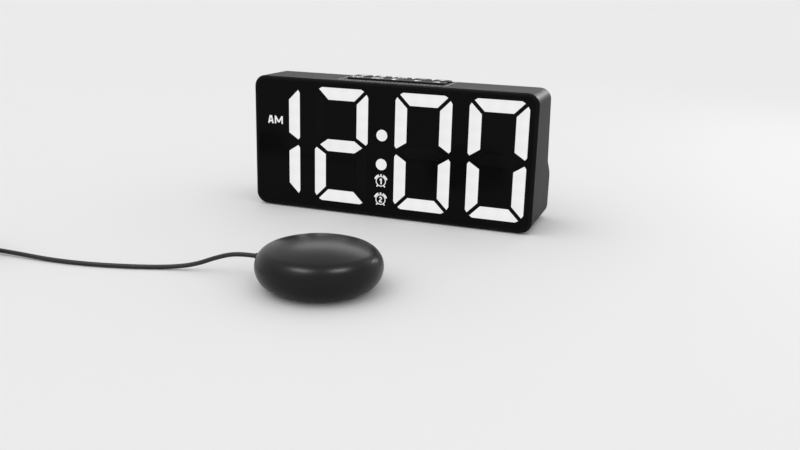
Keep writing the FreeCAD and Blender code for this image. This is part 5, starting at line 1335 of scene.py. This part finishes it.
def arrow_sign(way):
    """A solid triangle that points away from the reader (1) or to them (-1)."""
    def draw(marks, u, v, size):
        """Between a short row at the tip and a wide one at the foot."""
        tip_v, foot_v = v + way * size * 0.32, v - way * size * 0.26
        tip = np.array([[u - size * 0.02, tip_v], [u + size * 0.02, tip_v]])
        foot = np.array([[u - size * 0.34, foot_v], [u + size * 0.34, foot_v]])
        marks.strip(*((tip, foot) if way < 0 else (foot, tip)))
    return draw


def alarm_number(figure):
    """The alarm mark of the face, a little wider than the other symbols."""
    return lambda marks, u, v, size: alarm_sign(marks, u, v, size * 1.05, figure)


FRONT_SIGNS = (alarm_number(figure_one), alarm_number(figure_two), crescent_sign,
               arrow_sign(-1), arrow_sign(1))

# %% [markdown]
# Each symbol rides on its own key, or it would stay in the air when the key is pressed. So every
# key gets a piece of its own, and the five symbols of the bar are one piece on the bar.

# %% Ink laid on the keys
INK = 0.02
KEY_PITCH = 13.6
KEY_SYMBOL = 6.8
BAR_SYMBOL = 8.0


def top_of(node):
    """Middle of a node's top, in millimetres."""
    low, high = box_mm(node)
    return (low[0] + high[0]) / 2, (low[1] + high[1]) / 2, high[2]


def laid_on(height):
    """Marks that lie on a level surface: u is X, v is Y."""
    return lambda flat: flat + [0, 0, height]


for node, draw in zip(KEYS, BACK_SIGNS):
    x, y, top = top_of(node)
    symbol = Marks()
    draw(symbol, x, y, KEY_SYMBOL)
    symbol.printed(node + "_symbol", white_ink, node, laid_on(top), INK)
x, y, top = top_of("snooze_bar")
symbols = Marks()
for step, draw in enumerate(FRONT_SIGNS):
    draw(symbols, x + (step - 2) * KEY_PITCH, y, BAR_SYMBOL)
symbols.printed("snooze_symbols", white_ink, "snooze_bar", laid_on(top), INK)
print("symbols:", len(BACK_SIGNS) + len(FRONT_SIGNS))

# %% [markdown]
# A dashed line printed on the casing frames the whole field. A shader could draw it, but dashes
# of real ink are also part of the mesh. They start at each corner and step along its side.

# %% The dashed border
FIELD_X = (-37.0, 34.5)
FIELD_DEPTH = (6.0, 32.6)
DASH = 1.4
DASH_GAP = 1.0
DASH_W = 0.5
border = Marks()
front_y = box_mm("front_frame")[0, 1]
low_x, high_x = FIELD_X
near, far = [front_y + depth for depth in FIELD_DEPTH]
corners = np.array([(low_x, near), (high_x, near), (high_x, far), (low_x, far)])
for start, end in zip(corners, np.roll(corners, -1, axis=0)):
    reach = np.linalg.norm(end - start)
    way = (end - start) / reach
    for at in np.arange(0, reach - DASH, DASH + DASH_GAP):
        border.bar(*(start + way * at), *(start + way * (at + DASH)), DASH_W)
border.printed("key_field_border", white_ink, "clock", laid_on(box_mm("housing")[1, 2]), INK)
print("dashes:", len(border.faces))
